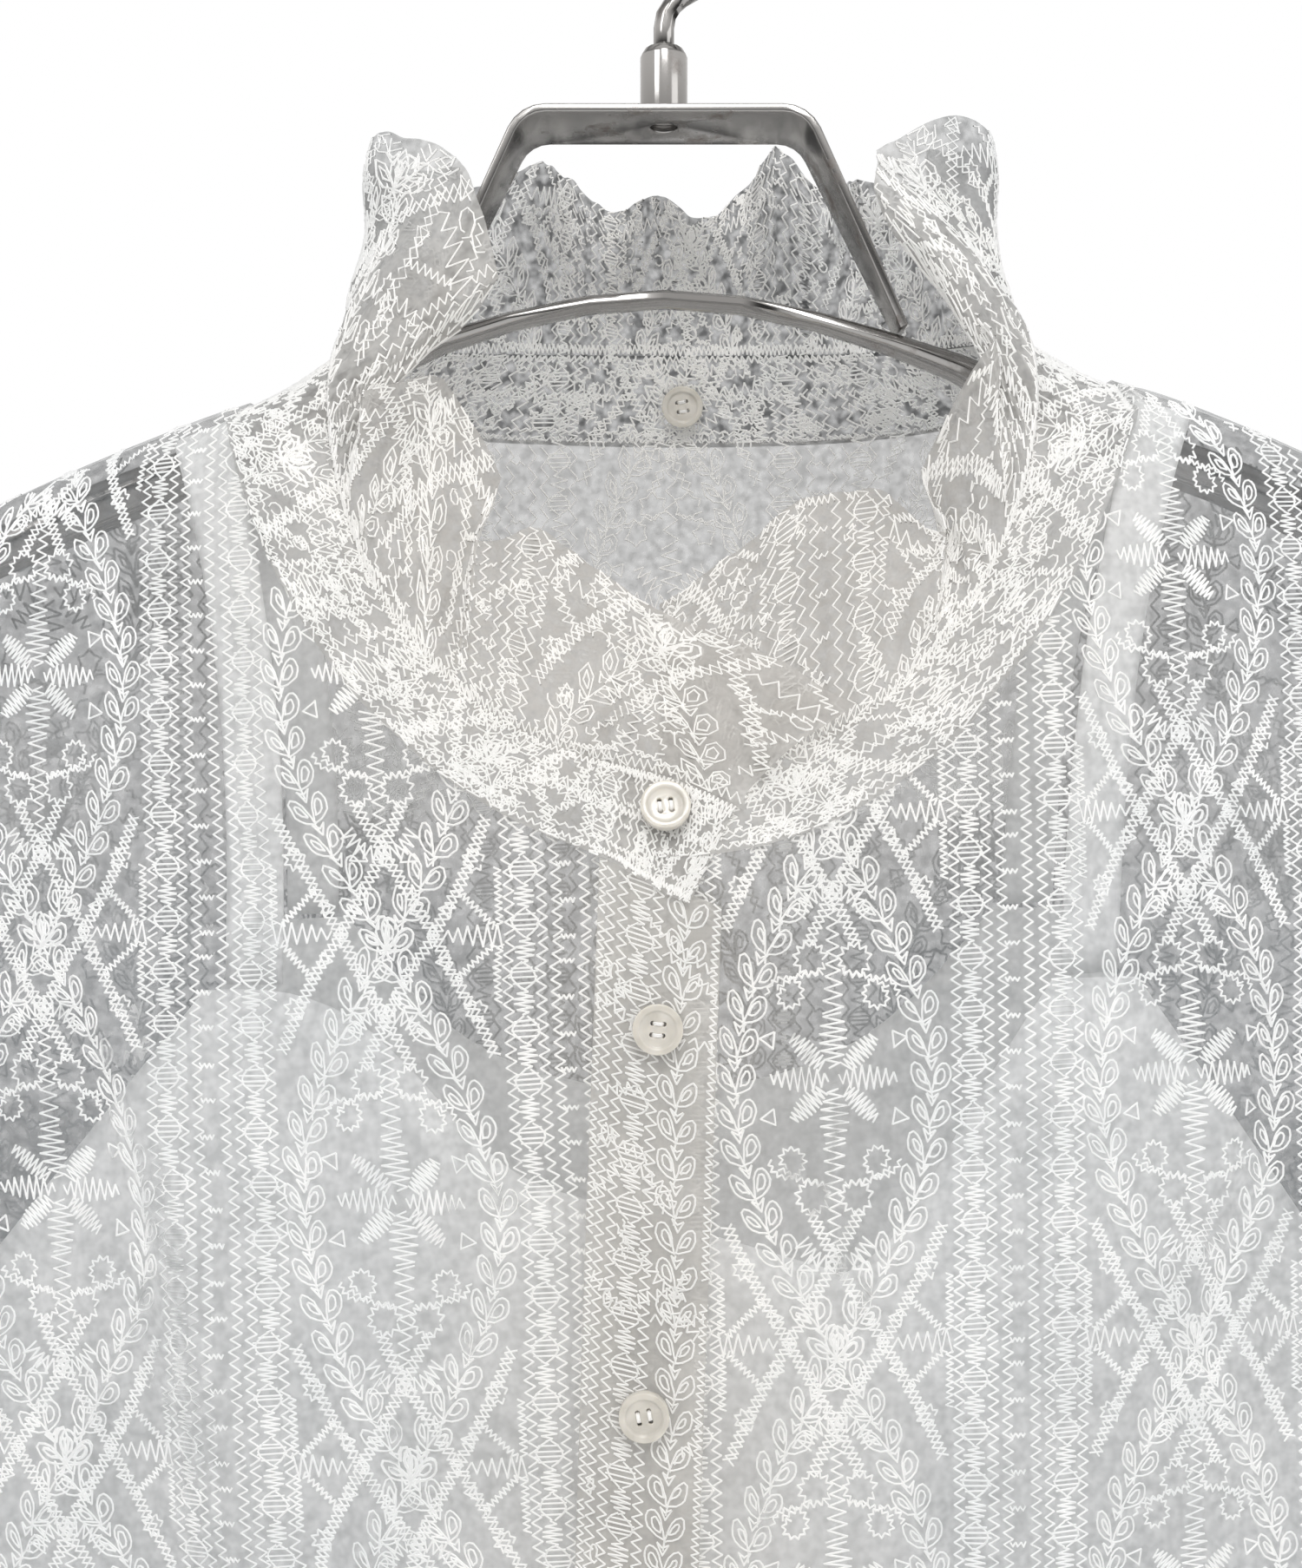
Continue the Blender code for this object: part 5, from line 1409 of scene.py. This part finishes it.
FLAT = {
    # node: width, length, flat area, held
    "front_right": (0.272, 0.612, 0.125, "hung"), "front_left": (0.290, 0.612, 0.141, "hung"),
    "back": (0.490, 0.615, 0.281, "hung"),
    "sleeve_right": (0.172, 0.545, 0.0800, "hung"), "sleeve_left": (0.172, 0.545, 0.0810, "hung"),
    "cuff_right": (0.118, 0.050, 0.00585, "hung"), "cuff_left": (0.118, 0.050, 0.00585, "hung"),
    "collar_band": (0.575, 0.027, 0.0130, "hung"), "collar_ruffle": (0.760, 0.046, 0.03496, "gathered"),
    "front_placket": (0.0265, 0.495, 0.01311, "hung"),
    "camisole_front": (0.470, 0.470, 0.173, "hung"), "camisole_back": (0.470, 0.450, 0.176, "hung"),
    "camisole_strap_right": (0.0155, 0.252, 0.00390, "hung"),
    "camisole_strap_left": (0.0155, 0.252, 0.00390, "hung"),
}
for node, (width, length, area, held) in FLAT.items():
    worn = cloth_area(cloth[node], 2 if node in LINING else 1)
    print(f"{node}: worn {worn:.4f} m2 of {area:.4f} m2 cut, share {worn / area:.2f}")

# %% [markdown]
# ## Buttons
#
# The shirt buttons are pressed from cream pearly resin, with a raised rim, a shallow dish and four holes. One
# is modelled: a flat cylinder whose top is inset and pushed down for the dish, then four small cylinders are
# cut out, and a fine bevel rounds every edge. The finished mesh is copied to each button's place in the
# frame, and turned to face as that one does. Thread bars cross from hole to hole.

# %% One button
BUTTON_RADIUS, BUTTON_THICK = 0.0052, 0.0022
HOLE_RADIUS, HOLE_PLACE, DRILL_DEPTH = 0.00048, 0.00118, 0.006
TOP_STEPS = ((0.0012, 0.0), (0.0004, 0.0005), (0.0012, 0.00012))
BACK_STEPS = ((0.0008, 0.0002),)
BUTTON_BEVEL = 0.00016
BAR_RADIUS, BAR_REACH, BAR_CUTS = 0.00021, HOLE_PLACE + 0.00015, 5
BAR_LIFT, BAR_LAYER, BAR_DROP, BAR_APART = 0.00062, 0.00012, 0.0016, 0.00034


def select_only(*pieces):
    bpy.ops.object.select_all(action="DESELECT")
    for piece in pieces:
        piece.select_set(True)
    bpy.context.view_layer.objects.active = pieces[0]


def bevel_edges(piece, width, segments, edge_angle, smooth_angle):
    """Rounds the edges that are sharper than one angle in degrees, and shades smooth up to another."""
    apply_modifier(
        piece, "BEVEL", width=width, segments=segments, limit_method="ANGLE",
        angle_limit=math.radians(edge_angle),
    )
    select_only(piece)
    bpy.ops.object.shade_smooth_by_angle(angle=math.radians(smooth_angle))


def add_cylinder(name, radius, depth, place, vertices):
    bpy.ops.object.select_all(action="DESELECT")
    bpy.ops.mesh.primitive_cylinder_add(vertices=vertices, radius=radius, depth=depth, location=place)
    piece = bpy.context.object
    piece.name = name
    return piece


def edit_faces(piece, chosen):
    """Edit mode with only the faces selected that chosen says yes to."""
    select_only(piece)
    for face in piece.data.polygons:
        face.select = bool(chosen(face))
    for edge in piece.data.edges:
        edge.select = False
    for vert in piece.data.vertices:
        vert.select = False
    for face in piece.data.polygons:
        if face.select:
            for index in face.vertices:
                piece.data.vertices[index].select = True
    bpy.ops.object.mode_set(mode="EDIT")
    bpy.ops.mesh.select_mode(type="FACE")


def press_in(piece, chosen, steps):
    """Insets the chosen faces step by step, and moves what is left inside down by each step's depth."""
    edit_faces(piece, chosen)
    for width, depth in steps:
        bpy.ops.mesh.inset(thickness=width)
        if depth:
            bpy.ops.transform.translate(value=(0, 0, -depth))
    bpy.ops.object.mode_set(mode="OBJECT")


def make_button():
    """A button that lies flat, with its dish upwards."""
    button = add_cylinder("shirt_button", BUTTON_RADIUS, BUTTON_THICK, (0, 0, 0), 48)
    press_in(button, lambda face: face.normal.z > 0.9, TOP_STEPS)
    press_in(button, lambda face: face.normal.z < -0.9, BACK_STEPS)
    drills = []
    for x in (-1, 1):
        for y in (-1, 1):
            place = (x * HOLE_PLACE, y * HOLE_PLACE, 0)
            drills.append(add_cylinder("drill", HOLE_RADIUS, DRILL_DEPTH, place, 20))
    select_only(*drills)
    bpy.ops.object.join()
    drill = bpy.context.object
    apply_modifier(button, "BOOLEAN", operation="DIFFERENCE", solver="EXACT", object=drill)
    bpy.data.objects.remove(drill)
    bevel_edges(button, BUTTON_BEVEL, 2, 35, 50)
    print("button:", len(button.data.polygons), "faces")
    return button


def make_bars(name, turned_round):
    """Two thread bars, each from hole to hole over the dish."""
    bars = []
    for side in (-1, 1):
        for layer in (0, 1):
            bar = add_cylinder(name, BAR_RADIUS, 2 * BAR_REACH, (0, 0, 0), 8)
            bar.rotation_euler = (0, math.radians(90), 0)
            bpy.ops.object.transform_apply(location=True, rotation=True, scale=True)
            select_only(bar)
            bpy.ops.object.mode_set(mode="EDIT")
            bpy.ops.mesh.select_all(action="SELECT")
            bpy.ops.mesh.subdivide(number_cuts=BAR_CUTS)
            bpy.ops.object.mode_set(mode="OBJECT")
            for vert in bar.data.vertices:
                share = min(abs(vert.co.x) / BAR_REACH, 1.0)
                vert.co.z += BAR_LIFT + layer * BAR_LAYER - BAR_DROP * share**4
                vert.co.y += side * HOLE_PLACE + (layer - 0.5) * BAR_APART
            bars.append(bar)
    select_only(*bars)
    bpy.ops.object.join()
    joined = bpy.context.object
    joined.name = name
    if turned_round:
        joined.data.transform(Matrix.Rotation(math.radians(90), 4, "Z"))
    joined.data.shade_smooth()
    return joined


# %% The resin
RESIN_PALE, RESIN_DEEP = (0.70, 0.665, 0.60), (0.58, 0.55, 0.49)
SWIRL_CLOUDS, GRAIN_CLOUDS = 260.0, 1600.0


def resin_material():
    material, tree, shader = new_material("cream_pearl_resin")
    place = object_place(tree)
    swirl = use_group(tree, CLOUDS, place, SWIRL_CLOUDS)
    colour = mixed(tree, mapped(tree, swirl, *CLOUD_EDGES), RESIN_PALE, RESIN_DEEP)
    tree.links.new(colour, shader.inputs["Base Color"])
    tree.links.new(mapped(tree, swirl, 0.3, 0.7, 0.18, 0.30), shader.inputs["Roughness"])
    set_inputs(
        shader, Subsurface_Weight=0.35, Subsurface_Radius=(1.0, 0.9, 0.7), Subsurface_Scale=0.001,
        Coat_Weight=0.5, Coat_Roughness=0.12,
    )
    add_bump(tree, shader, use_group(tree, CLOUDS, place, GRAIN_CLOUDS), 0.15, 0.00008)
    return material


button_model = make_button()
bars_level, bars_upright = make_bars("bars_level", False), make_bars("bars_upright", True)
for model, finish in ((button_model, resin_material()), (bars_level, thread), (bars_upright, thread)):
    set_finish(model, finish)

# %% A button at each place of the frame
BUTTON_NODES = [f"button_{number}" for number in range(1, 8)] + ["button_back_neck"]
BUTTON_TURNS = (7, -5, 11, 3, -8, 6, -4, 10)


def facing_frame(node):
    """Middle, and a turn whose third axis faces the camera side, of a flat round node."""
    points = np.array([vert.co[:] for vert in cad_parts[node].data.vertices])
    middle = (points.min(axis=0) + points.max(axis=0)) / 2
    _, _, axes = np.linalg.svd(points - points.mean(axis=0), full_matrices=False)
    facing = Vector(axes[2]) if axes[2][1] < 0 else -Vector(axes[2])
    across = Vector((1, 0, 0))
    across = (across - facing * across.dot(facing)).normalized()
    turn = Matrix((across, facing.cross(across), facing)).transposed().to_4x4()
    return Matrix.Translation(Vector(middle)) @ turn


def copy_to(model, name, matrix):
    piece = new_piece(name, model.data.copy())
    piece.data.name = name
    piece.data.transform(matrix)
    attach(piece, BODY)
    return piece


for number, (node, turn) in enumerate(zip(BUTTON_NODES, BUTTON_TURNS)):
    matrix = facing_frame(node) @ Matrix.Rotation(math.radians(turn), 4, "Z")
    piece = copy_to(button_model, node + "_resin", matrix)
    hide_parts(node)
    bars = copy_to(bars_upright if number % 2 == 0 else bars_level, node + "_thread", matrix)
for model in (button_model, bars_level, bars_upright):
    bpy.data.objects.remove(model)
print("buttons:", len(BUTTON_NODES))

# %% [markdown]
# ## The hanger
#
# The hanger is bright bent steel: a rod with its hook, a turned ferrule, a flat strip bent to a low arch, and
# the arched bar with its two arms. Each keeps the frame's shape. A copy of the frame's mesh is merged, its
# edges are rounded by a bevel, and its faces are shaded smooth up to those edges. The steel is polished and a
# little worn: fine lines along it, and a few brownish marks where it was handled.

# %% Steel
def steel_wear_group():
    """Marks: sparse patches of wear. Lines: fine brushed lines across the strip."""
    group, entry, leave = new_group(
        "steel_wear",
        [("Place", "NodeSocketVector", None)],
        [("Marks", "NodeSocketFloat"), ("Lines", "NodeSocketFloat")],
    )
    noise = add_node(group, "ShaderNodeTexNoise")
    set_inputs(noise, Scale=90.0, Detail=6.0, Roughness=0.65)
    group.links.new(entry.outputs["Place"], noise.inputs["Vector"])
    group.links.new(mapped(group, noise.outputs["Fac"], 0.56, 0.68), leave.inputs["Marks"])
    stretch = add_node(group, "ShaderNodeMapping")
    stretch.inputs["Scale"].default_value = (60.0, 5000.0, 60.0)
    group.links.new(entry.outputs["Place"], stretch.inputs["Vector"])
    lines = add_node(group, "ShaderNodeTexNoise")
    set_inputs(lines, Scale=1.0, Detail=2.0)
    group.links.new(stretch.outputs["Vector"], lines.inputs["Vector"])
    group.links.new(lines.outputs["Fac"], leave.inputs["Lines"])
    return group


STEEL_WEAR = steel_wear_group()
STEEL_BRIGHT, STEEL_WORN, WORN_ROUGHER = (0.40, 0.39, 0.38), (0.16, 0.12, 0.10), 0.22


def steel_material(name, roughness, marks_share):
    """Polished steel. marks_share says how strongly the marks show."""
    material, tree, shader = new_material(name)
    marks = use_group(tree, STEEL_WEAR, object_place(tree))
    lines = marks.node.outputs["Lines"]
    colour = mixed(tree, mapped(tree, marks, 0.0, 1.0, 0.0, marks_share), STEEL_BRIGHT, STEEL_WORN)
    tree.links.new(colour, shader.inputs["Base Color"])
    rough = mapped(tree, marks, 0.0, 1.0, roughness, roughness + WORN_ROUGHER)
    tree.links.new(rough, shader.inputs["Roughness"])
    set_inputs(shader, Metallic=1.0)
    add_bump(tree, shader, lines, 0.12, 0.00005)
    return material


polished, brushed = steel_material("polished_rod", 0.14, 0.35), steel_material("worn_strip", 0.24, 0.75)

# %% Rounded copies of the frame's hanger pieces
HANGER = {
    # node: edge radius, angle that counts as an edge, finish
    "hanger_hook": (0.00012, 50, polished), "hanger_ferrule": (0.00035, 30, polished),
    "hanger_bracket": (0.00045, 35, brushed), "hanger_bar": (0.0004, 60, polished),
}
for node, (radius, edge_angle, finish) in HANGER.items():
    copy = bmesh.new()
    copy.from_mesh(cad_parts[node].data)
    bmesh.ops.remove_doubles(copy, verts=copy.verts, dist=MERGE)
    bmesh.ops.dissolve_limit(copy, angle_limit=math.radians(1), verts=copy.verts, edges=copy.edges)
    mesh = bpy.data.meshes.new(node + "_steel")
    copy.to_mesh(mesh)
    copy.free()
    piece = new_piece(node + "_steel", mesh)
    set_finish(piece, finish)
    bevel_edges(piece, radius, 3, edge_angle, 45)
    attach(piece, BODY)
    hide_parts(node)
    print(piece.name, len(piece.data.polygons), "faces")

# %% The floor
floor_paint, tree, shader = new_material("studio_paint")
speckle = use_group(tree, CLOUDS, object_place(tree), 3.0)
tree.links.new(mixed(tree, speckle, (0.90, 0.90, 0.90), (0.94, 0.94, 0.94)), shader.inputs["Base Color"])
shader.inputs["Roughness"].default_value = 0.8
floor.data.materials.append(floor_paint)
print("floor painted")
